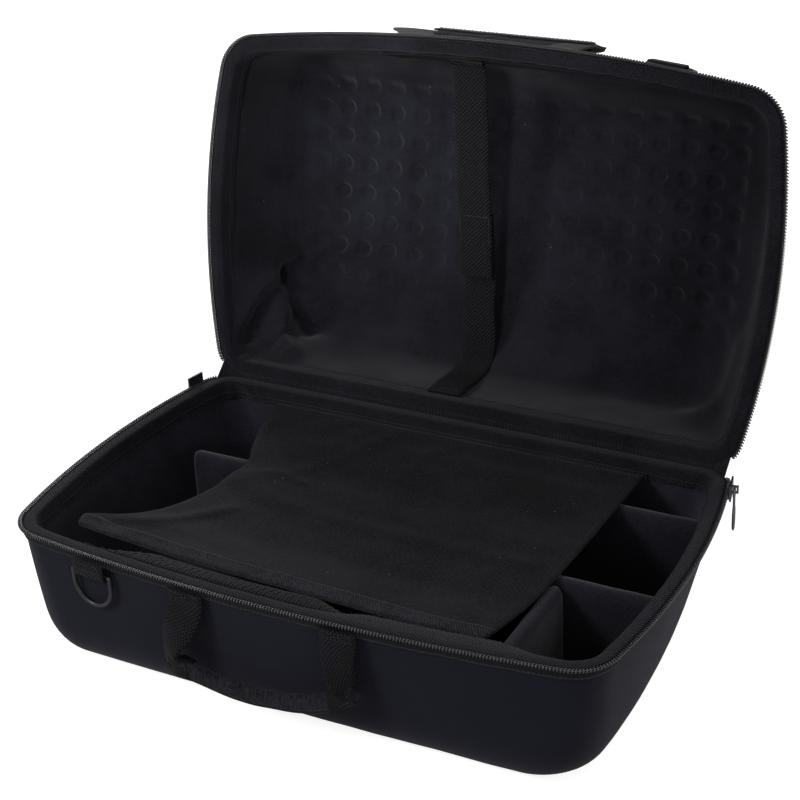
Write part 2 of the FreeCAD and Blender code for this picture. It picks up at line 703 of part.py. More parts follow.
for half, tab_x in ((BASE, size("ring_tab_x")), (LID, size("lid_ring_tab_x"))):
    frame = ring_frame(half, tab_x)
    ring_tab(f"{half.name}_ring_tab", half, frame)
    d_ring(f"{half.name}_ring", half, frame)

base_line = handle_roots(BASE)
for side, x, end in (("left", handle_left, "left_strap_end"), ("right", handle_right, "right_strap_end")):
    box(f"base_handle_{side}_strap",
        ("webbing_width", "webbing_thickness", f"base_height - handle_root + {top_clear} - {end}"), BASE,
        Vector(x - half_web, base_line.y - web / 2, size(end)))
grip_half = size("grip_thickness") / 2
left_low = size("left_strap_end") - grip_half - gap
right_low = size("right_strap_end") - grip_half - gap
grip_y = base_line.y - size("grip_width") / 2 + 2.5
grip_path = [
    (handle_left - half_web, left_low),
    (handle_left, left_low - 1.5),
    (size("handle_x") - 26, size("grip_low") + 2.5),
    (size("handle_x") + 4, size("grip_low")),
    (handle_right - half_web, (size("grip_low") + right_low) / 2 - 2),
    (handle_right + half_web, right_low),
]
spline_band("base_handle_grip", BASE, grip_path, size("grip_thickness"), "grip_width",
            Placement(Vector(0, grip_y, 0), Rotation()))

lid_line = handle_roots(LID)
lying = Rotation(Vector(1, 0, 0), size("lid_handle_rise") - lid_lean)
leg_top = "lid_strap_reach + webbing_width"
leg_out = "handle_spread / 2 + webbing_width / 2"
leg_in = "handle_spread / 2 - webbing_width / 2"
padded("lid_handle_webbing", LID, "XZ_Plane", [[
    ("-(" + leg_out + ")", f"-{top_clear}"), ("-(" + leg_in + ")", f"-{top_clear}"),
    ("-(" + leg_in + ")", "lid_strap_reach"), (leg_in, "lid_strap_reach"),
    (leg_in, f"-{top_clear}"), (leg_out, f"-{top_clear}"),
    (leg_out, leg_top), ("-(" + leg_out + ")", leg_top)]],
    "webbing_thickness", Placement(lid_line + Vector(size("handle_x"), 0, 0), lying))
fold_low = "lid_strap_reach + webbing_width + 2 - wrap_width"
slot_half = f"webbing_thickness / 2 + {gap}"
padded("lid_handle_wrap", LID, "YZ_Plane", [[
    ("-wrap_thickness / 2", fold_low), (f"-({slot_half})", fold_low),
    (f"-({slot_half})", leg_top + f" + {gap}"), (slot_half, leg_top + f" + {gap}"),
    (slot_half, fold_low), ("wrap_thickness / 2", fold_low),
    ("wrap_thickness / 2", leg_top + " + 2"), ("-wrap_thickness / 2", leg_top + " + 2")]],
    "wrap_length", Placement(lid_line + Vector(size("wrap_x"), 0, 0), lying))

# ---------------------------------------------------------------------------------------------------
# Zipper sliders and pulls
# ---------------------------------------------------------------------------------------------------
arc_centre, arc_size, _ = side_circle(BASE, 0)
rest_turn = math.degrees(math.asin((size("slider_rest_y") - arc_centre.y) / arc_size))
coil_lean = -coil_high * LID.side_draft / LID.depth
face_in = -coil_face + coil_lean + size("slider_play")
flange_top = -(coil_low + gap)
middle_z = size("seam_gap") / 2
pull_out = face_in + size("slider_plate") + (size("bail_height") - size("bail_wire")) / 2
for side, way in (("right", 1), ("left", -1)):
    turn = rest_turn if way > 0 else 180 - rest_turn
    facing = Rotation(Vector(0, 0, 1), turn)
    spot = Vector(way * arc_centre.x, arc_centre.y, BASE.rim) + facing.multVec(Vector(arc_size, 0, 0))
    low = f"{middle_z} - slider_height / 2"
    high = f"{middle_z} + slider_height / 2"
    face = f"{face_in} + slider_plate"
    padded(f"{side}_slider", BASE, "XZ_Plane", [[
        (str(face_in), high), (face, high), (face, low), (str(face_in), low),
        (str(face_in), f"{flange_top} - slider_plate"), (str(-tape_face + gap), f"{flange_top} - slider_plate"),
        (str(-tape_face + gap), str(flange_top)), (str(face_in), str(flange_top))]],
        "slider_length", Placement(spot, facing))
    shift = facing.multVec(Vector(0, 0, middle_z))
    padded(f"{side}_bail", BASE, "XZ_Plane", [[
        (face, "-bail_half_span"), (face + " + bail_height", "-bail_half_span"),
        (face + " + bail_height", "bail_half_span"), (face, "bail_half_span"),
        (face, "bail_half_span - bail_wire"), (face + " + bail_height - bail_wire", "bail_half_span - bail_wire"),
        (face + " + bail_height - bail_wire", "bail_wire - bail_half_span"),
        (face, "bail_wire - bail_half_span")]],
        "bail_wire + 0.4", Placement(spot + shift, facing))
    padded(f"{side}_pull", BASE, "YZ_Plane", [
        [("-pull_width / 2", "0.8"), ("pull_width / 2", "0.8"),
         ("pull_width / 2", "4 - pull_length"), ("pull_width / 2 - 3", "1 - pull_length"),
         ("3 - pull_width / 2", "1 - pull_length"), ("-pull_width / 2", "4 - pull_length")],
        [("-pull_width / 4", "-0.8"), ("pull_width / 4", "-0.8"),
         ("pull_width / 4", "-5.6"), ("-pull_width / 4", "-5.6")],
        [("-pull_width / 4", "13 - pull_length"), ("0", "14.5 - pull_length"), ("pull_width / 4", "13 - pull_length"),
         ("pull_width / 4", "6 - pull_length"), ("0", "4.5 - pull_length"), ("-pull_width / 4", "6 - pull_length")]],
        "pull_thickness",
        Placement(spot + shift + facing.multVec(Vector(pull_out, 0, 0)), facing))

# ---------------------------------------------------------------------------------------------------
# Check and write
# ---------------------------------------------------------------------------------------------------
doc.recompute()
for item in doc.Objects:
    if "Invalid" in item.State or "Error" in item.State:
        raise SystemExit(f"{item.Label}: {item.State}")
for item in SUBPARTS:
    if item.Shape.isNull() or not item.Shape.isValid() or not item.Shape.Solids:
        raise SystemExit(f"{item.Label}: no valid solid")
    item.Shape.exportStep(f"parts/{item.Label}.step")
print(len(SUBPARTS), "pieces written")
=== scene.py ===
# %% [markdown]
# # A zip-up carry case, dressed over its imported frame
# The case is two moulded foam trays with a zipper between them. The frame gives every piece its place and
# says what moves. The looks are made here: cloth, tape, webbing, foam pads and metal, each as its own piece
# over the frame's plain solids. Lengths are written in millimetres and turned to metres in one place.

# %% Load the frame
import json
import math
from collections import namedtuple

import bmesh
import bpy
import numpy as np
from mathutils import Matrix, Vector, noise


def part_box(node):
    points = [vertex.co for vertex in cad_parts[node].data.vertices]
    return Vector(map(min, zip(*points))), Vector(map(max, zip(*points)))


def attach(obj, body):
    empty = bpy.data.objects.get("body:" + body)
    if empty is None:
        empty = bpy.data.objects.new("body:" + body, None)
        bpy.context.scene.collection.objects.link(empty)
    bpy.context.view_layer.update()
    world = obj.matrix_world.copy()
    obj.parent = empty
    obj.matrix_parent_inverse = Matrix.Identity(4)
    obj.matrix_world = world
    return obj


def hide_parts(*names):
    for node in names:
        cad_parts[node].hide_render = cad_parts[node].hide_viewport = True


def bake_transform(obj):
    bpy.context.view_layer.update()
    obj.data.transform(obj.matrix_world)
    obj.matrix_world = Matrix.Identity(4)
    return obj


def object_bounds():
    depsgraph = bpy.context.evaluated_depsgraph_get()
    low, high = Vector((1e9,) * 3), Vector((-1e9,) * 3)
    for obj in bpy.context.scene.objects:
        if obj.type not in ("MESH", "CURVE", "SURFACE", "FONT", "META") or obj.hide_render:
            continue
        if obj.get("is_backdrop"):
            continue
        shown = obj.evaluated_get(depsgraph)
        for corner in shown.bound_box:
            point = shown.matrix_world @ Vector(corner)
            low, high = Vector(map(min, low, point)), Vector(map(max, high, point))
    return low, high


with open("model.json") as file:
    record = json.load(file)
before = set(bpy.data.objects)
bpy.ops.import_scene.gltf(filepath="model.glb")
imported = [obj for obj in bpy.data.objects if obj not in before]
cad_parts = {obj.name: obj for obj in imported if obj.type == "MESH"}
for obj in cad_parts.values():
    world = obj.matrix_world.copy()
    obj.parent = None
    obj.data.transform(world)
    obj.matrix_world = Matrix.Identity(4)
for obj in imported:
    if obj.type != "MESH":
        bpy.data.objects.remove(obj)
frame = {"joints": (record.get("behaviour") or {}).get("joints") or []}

cad_box = [list(corner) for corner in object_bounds()]

# %% [markdown]
# ## Places from the frame
# Everything is placed from the frame's own boxes, so a change of the frame moves the looks with it. The lid
# is drawn closed, where its numbers are simple, and then turned open about the zipper's hinge line by the
# angle that the hinge joint's own range gives.

# %% Measure the frame
MM = 0.001


def box_of(node):
    """Lowest and highest corner of a frame piece, in millimetres."""
    low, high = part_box(node)
    return np.array(low) / MM, np.array(high) / MM


joints = {joint["name"]: joint for joint in frame["joints"]}
rim_low, rim_high = box_of("base_binding")
LAP = 0.2
LENGTH = rim_high[0] - rim_low[0] - 2 * LAP
WIDTH = 250.0
RIM = rim_high[2]
SEAM_GAP = 3.0
LID_DEPTH = 84.0
HINGE = np.array([0.0, WIDTH / 2 + 1.5, RIM + SEAM_GAP / 2])
OPEN_ANGLE = -math.radians(joints["lid_hinge"]["range_deg"][0])
print(f"case {LENGTH:.0f} x {WIDTH:.0f} mm, base {RIM:.1f} mm high")
print(f"lid open by {math.degrees(OPEN_ANGLE):.1f} degrees")

# %% [markdown]
# ## The moulded form
# Both trays share one plan: side walls and the front bow outwards, the corners are round, the rear is
# straight. The lid is deeper and its walls lean in more. These sizes drive every layer of both walls.

# %% Sizes of the form
Half = namedtuple("Half", "name rim way depth side_draft end_draft")
BASE = Half("base", RIM, -1, RIM, 17.5, 2.5)
LID = Half("lid", RIM + SEAM_GAP, 1, LID_DEPTH, 28.5, 15.0)
SIDE_BULGE, FRONT_BULGE, FLOOR_SHARE = 10.5, 14.5, 0.12
REAR_TAPER, FLOOR_TAPER = 6.0, 22.0
FRONT_CORNER, REAR_CORNER, FLOOR_CORNER = 26.0, 20.0, 44.0
BOTTOM_ROUND = 35.5
SHELL, LINING, BINDING, PLY_GAP = 5.5, 1.2, 1.0, 0.3
LINING_IN = SHELL + PLY_GAP + LINING
SKIRT_IN = LINING_IN + PLY_GAP + BINDING
print(f"shell {SHELL} mm, lining {LINING} mm, lid {LID.depth:.0f} mm deep")

# %% [markdown]
# ## The front wall
# Each wall is one shallow arc of a circle, flatter near the floor. Its radius follows from how wide it is
# and how far it bows out.

# %% Front wall
def arc_radius(half_chord, sagitta):
    """Radius of an arc from half its chord and its rise."""
    return (half_chord ** 2 + sagitta ** 2) / (2 * sagitta)


def front_circle(half, depth):
    """Centre y and radius of the front wall's arc, and the corner where it meets the side."""
    share = depth / half.depth
    fade = 1 - (1 - FLOOR_SHARE) * share
    reach_x = LENGTH / 2 - half.side_draft * share
    reach_y = WIDTH / 2 - half.end_draft * share
    corner = np.array([reach_x - SIDE_BULGE * fade, -reach_y + FRONT_BULGE * fade])
    radius = arc_radius(corner[0], FRONT_BULGE * fade)
    return radius - reach_y, radius, corner


print(f"front wall bows out on a radius of {front_circle(BASE, 0)[1]:.0f} mm")

# %% [markdown]
# ## Walls and corners
# A corner is an arc that is tangent to both of its walls, so its centre lies where two circles cross. Four
# arcs and a straight rear make the right half.

# %% Walls and corners
ARC_STEPS = (60, 14, 50, 12, 50)


def corner_hub(front, front_radius, side, side_radius):
    """Centre of the corner's arc: where circles round the two walls' centres cross at the front right."""
    apart = side - front
    distance = np.linalg.norm(apart)
    along = (front_radius ** 2 - side_radius ** 2 + distance ** 2) / (2 * distance)
    across = math.sqrt(front_radius ** 2 - along ** 2)
    ahead = apart / distance
    hubs = [front + ahead * along + way * across * np.array([-ahead[1], ahead[0]]) for way in (1, -1)]
    return max(hubs, key=lambda hub: hub[0] - hub[1])


def heading(centre, to):
    """Angle at which one plan point sees another."""
    return math.atan2(to[1] - centre[1], to[0] - centre[0])


def right_half(half, depth):
    """Arcs from front to rear, as (centre, radius, start, end, steps), and where the straight rear starts."""
    share = depth / half.depth
    fade = 1 - (1 - FLOOR_SHARE) * share
    taper = REAR_TAPER + (FLOOR_TAPER - REAR_TAPER) * share
    rear_y = WIDTH / 2 - half.end_draft * share
    front_y, front_radius, corner = front_circle(half, depth)
    front = np.array([0.0, front_y])
    rear = np.array([corner[0] - taper, rear_y])
    chord = rear - corner
    sagitta = SIDE_BULGE * fade + taper / 2
    side_radius = arc_radius(np.linalg.norm(chord) / 2, sagitta)
    outward = np.array([chord[1], -chord[0]]) / np.linalg.norm(chord)
    side = (corner + rear) / 2 + outward * (sagitta - side_radius)
    front_round = FRONT_CORNER * (1 - share) + FLOOR_CORNER * share
    rear_round = REAR_CORNER * (1 - share) + FLOOR_CORNER * share
    front_hub = corner_hub(front, front_radius - front_round, side, side_radius - front_round)
    hub_y = rear_y - rear_round
    reach = math.sqrt((side_radius - rear_round) ** 2 - (hub_y - side[1]) ** 2)
    rear_hub = np.array([side[0] + reach, hub_y])

    stops = [-math.pi / 2, heading(front, front_hub), heading(side, front_hub), heading(side, rear_hub),
             math.pi / 2]
    arcs = zip((front, front_hub, side, rear_hub), (front_radius, front_round, side_radius, rear_round),
               stops, stops[1:], ARC_STEPS)
    return list(arcs), (rear_hub[0], rear_y)


print(f"right half of {len(right_half(BASE, 0)[0])} arcs")

# %% [markdown]
# ## The outline
# One function gives the whole plan at any depth and any inset. Every layer of the wall, from the shell to
# the zipper, is that outline with another inset. Half of it is worked out and mirrored.

# %% The outline
def outline(half, depth, inset, fine=1):
    """Plan points round the form and their outward directions, from the middle of the front."""
    arcs, (rear_x, rear_y) = right_half(half, depth)
    points, turns = [], []
    for centre, radius, start, end, steps in arcs:
        angles = np.linspace(start, end, steps * fine, endpoint=False)
        away = np.stack([np.cos(angles), np.sin(angles)], 1)
        points.append(centre + away * (radius - inset))
        turns.append(away)
    xs = np.linspace(rear_x, 0, ARC_STEPS[-1] * fine + 1)
    points.append(np.stack([xs, np.full_like(xs, rear_y - inset)], 1))
    turns.append(np.tile([0.0, 1.0], (len(xs), 1)))
    right, right_turns = np.vstack(points), np.vstack(turns)
    mirror = np.array([-1.0, 1.0])
    left, left_turns = right[-2:0:-1] * mirror, right_turns[-2:0:-1] * mirror
    return np.vstack([right, left]), np.vstack([right_turns, left_turns])


print(f"outline of {len(outline(BASE, 0, 0)[0])} points")

# %% [markdown]
# ## Down the wall
# A wall runs straight down from the rim and turns into the floor by a round. The round is a power of a
# circle: a fullness below one squares it a little, as pressed foam is.

# %% Levels and profiles
def lengths_along(points):
    """Running length along rows of points, starting at nought."""
    steps = np.linalg.norm(np.diff(points, axis=0), axis=1)
    return np.concatenate([[0.0], np.cumsum(steps)])


def level(half, depth):
    """Height of a depth below the base's rim, or above the lid's."""
    return half.rim + half.way * depth


def at_depth(plan, half, depth):
    """Plan points as points in space."""
    return np.hstack([plan, np.full((len(plan), 1), level(half, depth))])


def wall_profile(half, inset, start, straight_rows=12, round_rows=14, fullness=1.0):
    """Insets and depths from the rim down the wall and round into the floor; fullness squares the round."""
    straight, reach = half.depth - BOTTOM_ROUND, BOTTOM_ROUND - inset
    rows = [(inset, depth) for depth in np.linspace(start, straight, straight_rows)]
    for turn in np.linspace(0, math.pi / 2, round_rows)[1:]:
        into, down = 1 - math.cos(turn) ** fullness, math.sin(turn) ** fullness
        rows.append((inset + reach * into, straight + reach * down))
    return rows


rim_plan, _ = outline(BASE, 0, 0)
rim_length = lengths_along(np.vstack([rim_plan, rim_plan[:1]]))[-1]
print(f"rim is {rim_length:.0f} mm round, {len(rim_plan)} points")

# %% [markdown]
# ## Patches of mesh
# A soft piece is a grid of points with a cloth direction along each side, or a section carried along a
# path. Both are gathered as patches, which can be joined before they become one object, so a tape and its
# stitches can be one mesh. Texture coordinates are in metres of cloth, so a weave has its real size.

# %% Patches
Patch = namedtuple("Patch", "points faces uvs")


def grid(points, cloth, around=False, flip=False):
    """Quads between rows and columns of points; `around` joins the last column to the first."""
    rows, columns = points.shape[:2]
    index = np.arange(rows * columns).reshape(rows, columns)
    if around:
        index = np.hstack([index, index[:, :1]])
    corners = [(slice(None, -1), slice(None, -1)), (slice(None, -1), slice(1, None)),
               (slice(1, None), slice(1, None)), (slice(1, None), slice(None, -1))]
    if flip:
        corners = corners[::-1]
    faces = np.stack([index[spot] for spot in corners], -1).reshape(-1, 4)
    uvs = np.stack([cloth[spot] for spot in corners], 2).reshape(-1, 4, 2) * MM
    return Patch(points.reshape(-1, 3), faces, uvs)


def joined(patches):
    """Several patches as one."""
    points, faces, uvs, count = [], [], [], 0
    for patch in patches:
        points.append(patch.points)
        faces.append(patch.faces + count)
        uvs.append(patch.uvs)
        count += len(patch.points)
    return Patch(np.vstack(points), np.vstack(faces), np.vstack(uvs))


print("a patch holds", ", ".join(Patch._fields))

# %% [markdown]
# ## Directions and steps
# Some small sums come back in every piece: directions of length one, values read along a path, and a soft
# step from nought to one. Each has a function of its own.

# %% Small helpers
def unit(vectors):
    """Vectors brought to a length of one."""
    return vectors / np.maximum(np.linalg.norm(vectors, axis=-1, keepdims=True), 1e-9)


def same(direction, count):
    """One direction, repeated for each point of a path."""
    return np.tile(np.asarray(direction, float), (count, 1))


def along_path(stops, known, values):
    """Rows of values read at stops along a path whose running lengths are known."""
    return np.stack([np.interp(stops, known, values[:, axis]) for axis in range(values.shape[1])], -1)


def eased_step(values, start, end):
    """Nought before start, one past end, and a soft step between."""
    share = np.clip((values - start) / (end - start), 0, 1)
    return share * share * (3 - 2 * share)


def level_out(plan_directions):
    """Plan directions as level ones in space."""
    return np.concatenate([plan_directions, np.zeros(plan_directions.shape[:-1] + (1,))], -1)


print("halfway up a soft step:", float(eased_step(np.array(5.0), 0, 10)))

# %% [markdown]
# ## Sections along paths
# Tapes, wires, straps and stitches all have one section that follows a path, so one function carries them
# all. It needs the path's sideways and upward directions at each point, because webbing twists as it goes.
# A curve object with a bevel would be quicker, but it gives no say over the twist or a changing section.

# %% Sweep
def end_caps(points, cloth, flips):
    """Closes both ends of a tube by quads from one half of the end ring to the other."""
    caps = []
    for end, flip in zip((0, -1), flips):
        half = points.shape[1] // 2
        strip = np.stack([points[end][:half], points[end][::-1][:half]])
        caps.append(grid(strip, cloth(strip), flip=flip))
    return caps


def sweep(path, side, up, section, closed=False, capped=True):
    """Carries a closed section, given as (sideways, upwards) pairs, along a path."""
    section = np.asarray(section, float)
    if section.ndim == 2:
        section = np.broadcast_to(section, (len(path),) + section.shape)
    points = (path[:, None] + section[..., :1] * side[:, None] + section[..., 1:] * up[:, None])
    around = lengths_along(np.vstack([section[0], section[0][:1]]))
    along = lengths_along(path)
    cloth = np.stack(np.meshgrid(around, along), -1)
    if closed:
        points = np.concatenate([points, points[:1]])
        cloth = np.concatenate([cloth, cloth[-1:] + [0, np.linalg.norm(path[0] - path[-1])]])
    tube = grid(points, cloth, around=True)
    if closed or not capped:
        return tube
    return joined([tube] + end_caps(points, lambda strip: np.zeros(strip.shape[:2] + (2,)), (False, True)))


stick = np.array([[0.0, 0.0, 0.0], [0.0, 10.0, 0.0]])
rod = sweep(stick, same([1, 0, 0], 2), same([0, 0, 1], 2), [(-1, -1), (1, -1), (1, 1), (-1, 1)])
print(f"a square rod takes {len(rod.faces)} faces")

# %% [markdown]
# ## Smooth paths and unevenness
# Paths are given as a few listed points and smoothed. The lid's pieces are drawn closed and turned
# open last. Nothing soft is quite even, so points are moved by a smooth noise that is the same on every
# run.

# %% Paths
def opened(points, share=1.0):
    """Turns points of the closed lid to where the lid stands open, or by a share of the way."""
    arm = points - HINGE
    cos, sin = np.cos(-OPEN_ANGLE * share), np.sin(-OPEN_ANGLE * share)
    y = arm[..., 1] * cos - arm[..., 2] * sin
    z = arm[..., 1] * sin + arm[..., 2] * cos
    return np.stack([arm[..., 0], y, z], -1) + HINGE


def smooth_path(points, count):
    """An evenly spaced, smooth path through a few given points."""
    points = np.asarray(points, float)
    ends = np.vstack([2 * points[0] - points[1], points, 2 * points[-1] - points[-2]])
    fine = []
    for index in range(len(points) - 1):
        a, b, c, d = ends[index:index + 4]
        t = np.linspace(0, 1, 24, endpoint=False)[:, None]
        fine.append(0.5 * (2 * b + (c - a) * t + (2 * a - 5 * b + 4 * c - d) * t ** 2
                           + (3 * b - a - 3 * c + d) * t ** 3))
    fine = np.vstack(fine + [points[-1:]])
    travelled = lengths_along(fine)
    return along_path(np.linspace(0, travelled[-1], count), travelled, fine)


def directions(path, closed=False):
    """Unit directions along a path."""
    if closed:
        return unit(np.roll(path, -1, 0) - np.roll(path, 1, 0))
    return unit(np.gradient(path, axis=0))


def ripple(points, wavelength, seed=0.0):
    """Smooth, repeatable unevenness between about -1 and 1 for each point."""
    shifted = points.reshape(-1, 3) / wavelength + seed
    values = [noise.noise(Vector(point)) for point in shifted]
    return np.array(values).reshape(points.shape[:-1]) * 1.6


print("hinge line at", HINGE.round(1), "mm")

# %% [markdown]
# ## From a patch to a piece
# One function makes every modelled piece: it turns the lid's pieces open, builds the mesh in metres, gives
# it thickness where it is a sheet, and hooks it to its body. The grids are fine enough to need no
# subdivision.

# %% Pieces
def piece(name, patch, finish, body=None, replaces=(), lid=False, thick=0.0, offset=-1.0,
          weld=False):
    """Makes an object from a patch with its finish, hooked to its body; a lid piece is turned open first."""
    points = opened(patch.points) if lid else patch.points
    mesh = bpy.data.meshes.new(name)
    mesh.from_pydata((points * MM).tolist(), [], patch.faces.tolist())
    layer = mesh.uv_layers.new(name="UVMap")
    layer.data.foreach_set("uv", patch.uvs.reshape(-1))
    if weld:
        shape = bmesh.new()
        shape.from_mesh(mesh)
        bmesh.ops.remove_doubles(shape, verts=shape.verts, dist=0.02 * MM)
        shape.to_mesh(mesh)
        shape.free()
    mesh.shade_smooth()
    item = bpy.data.objects.new(name, mesh)
    bpy.context.collection.objects.link(item)
    mesh.materials.append(finish)
    if thick:
        wall = item.modifiers.new("thickness", "SOLIDIFY")
        wall.thickness = thick * MM
        wall.offset = offset
        wall.use_even_offset = True
    if body:
        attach(item, body)
    if replaces:
        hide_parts(*replaces)
    print(f"{name}: {len(mesh.polygons)} faces")
    return item


# %% [markdown]
# ## Colour
# The case is all near-black synthetic cloth, so its pieces are told apart by weave, sheen and a few points
# of brightness. Colours are written as sRGB hex and turned to linear once.

# %% Colour
def linear(code):
    """Linear colour of an sRGB hex code."""
    parts = [int(code[at:at + 2], 16) / 255 for at in (1, 3, 5)]
    parts = [part / 12.92 if part <= 0.04045 else ((part + 0.055) / 1.055) ** 2.4 for part in parts]
    return tuple(parts) + (1.0,)


print("near-black in linear light:", [round(part, 4) for part in linear("#14141f")[:3]])

# %% [markdown]
# ## Nodes
# A finish is a tree of nodes. One function adds a node with its settings and links, and the sums, ranges
# and blends that the finishes share are built on it.

# %% Nodes
def add(tree, kind, inputs=None, **settings):
    """Adds a node; inputs maps a socket to a value or to another node's output."""
    made = tree.nodes.new(kind)
    for name, value in settings.items():
        setattr(made, name, value)
    for socket, value in (inputs or {}).items():
        if isinstance(value, bpy.types.NodeSocket):
            tree.links.new(value, made.inputs[socket])
        else:
            made.inputs[socket].default_value = value
    return made


def new_finish(name):
    """A material with its shader, and a tree to add to."""
    material = bpy.data.materials.new(name)
    material.use_nodes = True
    return material, material.node_tree, material.node_tree.nodes["Principled BSDF"]


def maths(tree, operation, *values, clamp=False):
    """The result of a Math node; its inputs are values or other nodes' outputs."""
    made = add(tree, "ShaderNodeMath", dict(enumerate(values)), operation=operation, use_clamp=clamp)
    return made.outputs[0]


def spread(tree, value, low, high, start=0.0, end=1.0):
    """Maps a value between start and end to one between low and high."""
    return add(tree, "ShaderNodeMapRange", {"Value": value, "From Min": start, "From Max": end, "To Min": low,
                                            "To Max": high}).outputs[0]


def blended(tree, factor, first, second):
    """A colour between two others."""
    return add(tree, "ShaderNodeMix", {"Factor": factor, 6: first, 7: second}, data_type="RGBA").outputs[2]


print("helpers for sums, ranges and blends are ready")

# %% [markdown]
# ## Woven threads
# Cloth reads as cloth by its threads: small hills where one thread crosses over another. They come from two
# crossing waves over the cloth's own coordinates, or from one slanted wave for a twill. A flat colour would
# be simpler, but waves over the cloth keep the same threads on every piece, however it bends.

# %% Weaves
def waves(tree, across, along, pitch, lean=0.0):
    """Height of crossing threads: the product of two waves, or a slanted rib where lean is set."""
    turn = 2 * math.pi / (pitch * MM)
    first = maths(tree, "MULTIPLY", across, turn)
    second = maths(tree, "MULTIPLY", along, turn)
    if lean:
        return maths(tree, "SINE", maths(tree, "MULTIPLY_ADD", second, lean, first))
    return maths(tree, "MULTIPLY", maths(tree, "SINE", first), maths(tree, "SINE", second))


def plain_weave(pitch):
    """Threads over and under, the same both ways."""
    return lambda tree, u, v: waves(tree, u, v, pitch)


def slanted_weave(pitch, lean=1.0):
    """Slanted ribs, as in twill."""
    return lambda tree, u, v: waves(tree, u, v, pitch, lean)


def herringbone(pitch, stripe):
    """Slanted ribs that turn back at each stripe, as in zipper tape."""
    return lambda tree, u, v: waves(tree, maths(tree, "PINGPONG", u, stripe * MM), v, pitch, 1.0)


print("weaves: plain, slanted and herringbone")

# %% [markdown]
# ## Cloth
# One function turns a weave into a finish. The weave's height lifts the surface by a bump and also sets
# the colour between a dark and a light tone: painted shade in the valleys between threads and a painted
# highlight on their crests. Three kinds of wear make it real: a slow mottle, a tone of its own for each
# thread, and on some cloths streaks of brushing and specks of lint. A soft sheen stands for the loose fibres.

# %% Cloth finish
LINT, LINT_SCALE, LINT_RADIUS = "#8d8d92", 150.0, 0.05
STREAK_STRETCH = (12.0, 900.0, 1.0)


def cloth_finish(name, dark, light, threads, depth, roughness=0.9, sheen=0.12, mottle=0.12, lint=0.0,
                 streak=0.0, grain=0.2, thread=1.0, shine=0.12, contrast=1.0):
    """Woven cloth: threads(tree, u, v) gives the weave's height, which paints shade and highlight into the
    colour and lifts the surface.
    """
    material, tree, shader = new_finish(name)
    place = add(tree, "ShaderNodeTexCoord")
    axes = add(tree, "ShaderNodeSeparateXYZ", {0: place.outputs["UV"]})
    height = threads(tree, axes.outputs[0], axes.outputs[1])
    # The weave's height picks the tone: painted shade in the thread valleys, painted highlight on the crests;
    # mottle, slubs, streaks and lint then add the cloth's own tones.
    factor = spread(tree, height, 0.5 - contrast / 2, 0.5 + contrast / 2, start=-1.0)
    worn = add(tree, "ShaderNodeTexNoise", {"Vector": place.outputs["Object"], "Scale": 22.0, "Detail": 7.0,
                                            "Roughness": 0.65})
    factor = maths(tree, "ADD", factor, spread(tree, worn.outputs["Fac"], -mottle, mottle, 0.3, 0.7))
    cloth = add(tree, "ShaderNodeMapping", {"Vector": place.outputs["UV"], "Scale": (1 / (thread * MM),) * 3})
    cell = add(tree, "ShaderNodeVectorMath", {0: cloth.outputs[0]}, operation="FLOOR")
    slub = add(tree, "ShaderNodeTexWhiteNoise", {"Vector": cell.outputs[0]}, noise_dimensions="2D")
    factor = maths(tree, "ADD", factor, spread(tree, slub.outputs["Value"], -grain, grain), clamp=True)
    if streak:
        stretched = add(tree, "ShaderNodeMapping", {"Vector": place.outputs["UV"], "Scale": STREAK_STRETCH})
        lines = add(tree, "ShaderNodeTexNoise", {"Vector": stretched.outputs[0], "Scale": 1.0, "Detail": 2.0})
        marks = spread(tree, lines.outputs["Fac"], -streak, streak, 0.35, 0.65)
        factor = maths(tree, "ADD", factor, marks, clamp=True)
    tint = blended(tree, factor, linear(dark), linear(light))
    if lint:
        cells = add(tree, "ShaderNodeTexVoronoi", {"Vector": place.outputs["Object"], "Scale": LINT_SCALE})
        near = maths(tree, "LESS_THAN", cells.outputs["Distance"], LINT_RADIUS)
        chosen = maths(tree, "GREATER_THAN", cells.outputs["Color"], 1 - lint)
        tint = blended(tree, maths(tree, "MULTIPLY", near, chosen), tint, linear(LINT))
    bump = add(tree, "ShaderNodeBump", {"Height": height, "Strength": 0.8, "Distance": depth * MM})
    tree.links.new(tint, shader.inputs["Base Color"])
    tree.links.new(bump.outputs[0], shader.inputs["Normal"])
    shader.inputs["Roughness"].default_value = roughness
    shader.inputs["IOR"].default_value = 1.5
    shader.inputs["Specular IOR Level"].default_value = shine
    shader.inputs["Sheen Weight"].default_value = sheen
    shader.inputs["Sheen Roughness"].default_value = 0.5
    return material


print("one function for every cloth")

# %% [markdown]
# ## The finishes
# Jersey knit glued to the foam outside, brushed plain weave inside, ribbed tape on the rims, twill for the
# cover flap and flat polypropylene webbing for straps. Real threads here are 0.3 to 0.6 mm apart, which is
# under what shows from a metre, so each weave is drawn two to five times as coarse.

# %% Cloth finishes
SHELL_KNIT = cloth_finish("polyester_jersey_laminated", "#14141f", "#1a1a28", plain_weave(1.2), 0.03,
                          sheen=0.12, mottle=0.25)
LINING_CLOTH = cloth_finish("brushed_polyester_plain_weave", "#0e0e13", "#23232b", plain_weave(1.5), 0.12,
                            sheen=0.15, mottle=0.5, lint=0.14, streak=0.1, grain=0.22, thread=1.1)
# The tray's lining is the lid's brushed cloth painted lighter: painted light that stands in for the light
# that does not reach into the base.
TRAY_LINING_PAINTED_LIGHTER = cloth_finish("brushed_polyester_plain_weave_of_the_tray", "#1b1b24", "#33333f", plain_weave(1.5),
                          0.12, sheen=0.2, mottle=0.5, lint=0.12, grain=0.22, thread=1.1)
BINDING_TAPE = cloth_finish("polyester_grosgrain_tape", "#060609", "#27272e", plain_weave(2.3), 0.28,
                            sheen=0.1, mottle=0.35, grain=0.2, thread=1.2)
ZIPPER_TAPE = cloth_finish("polyester_zipper_tape", "#101013", "#222226", herringbone(0.9, 1.5), 0.06,
                           sheen=0.1)
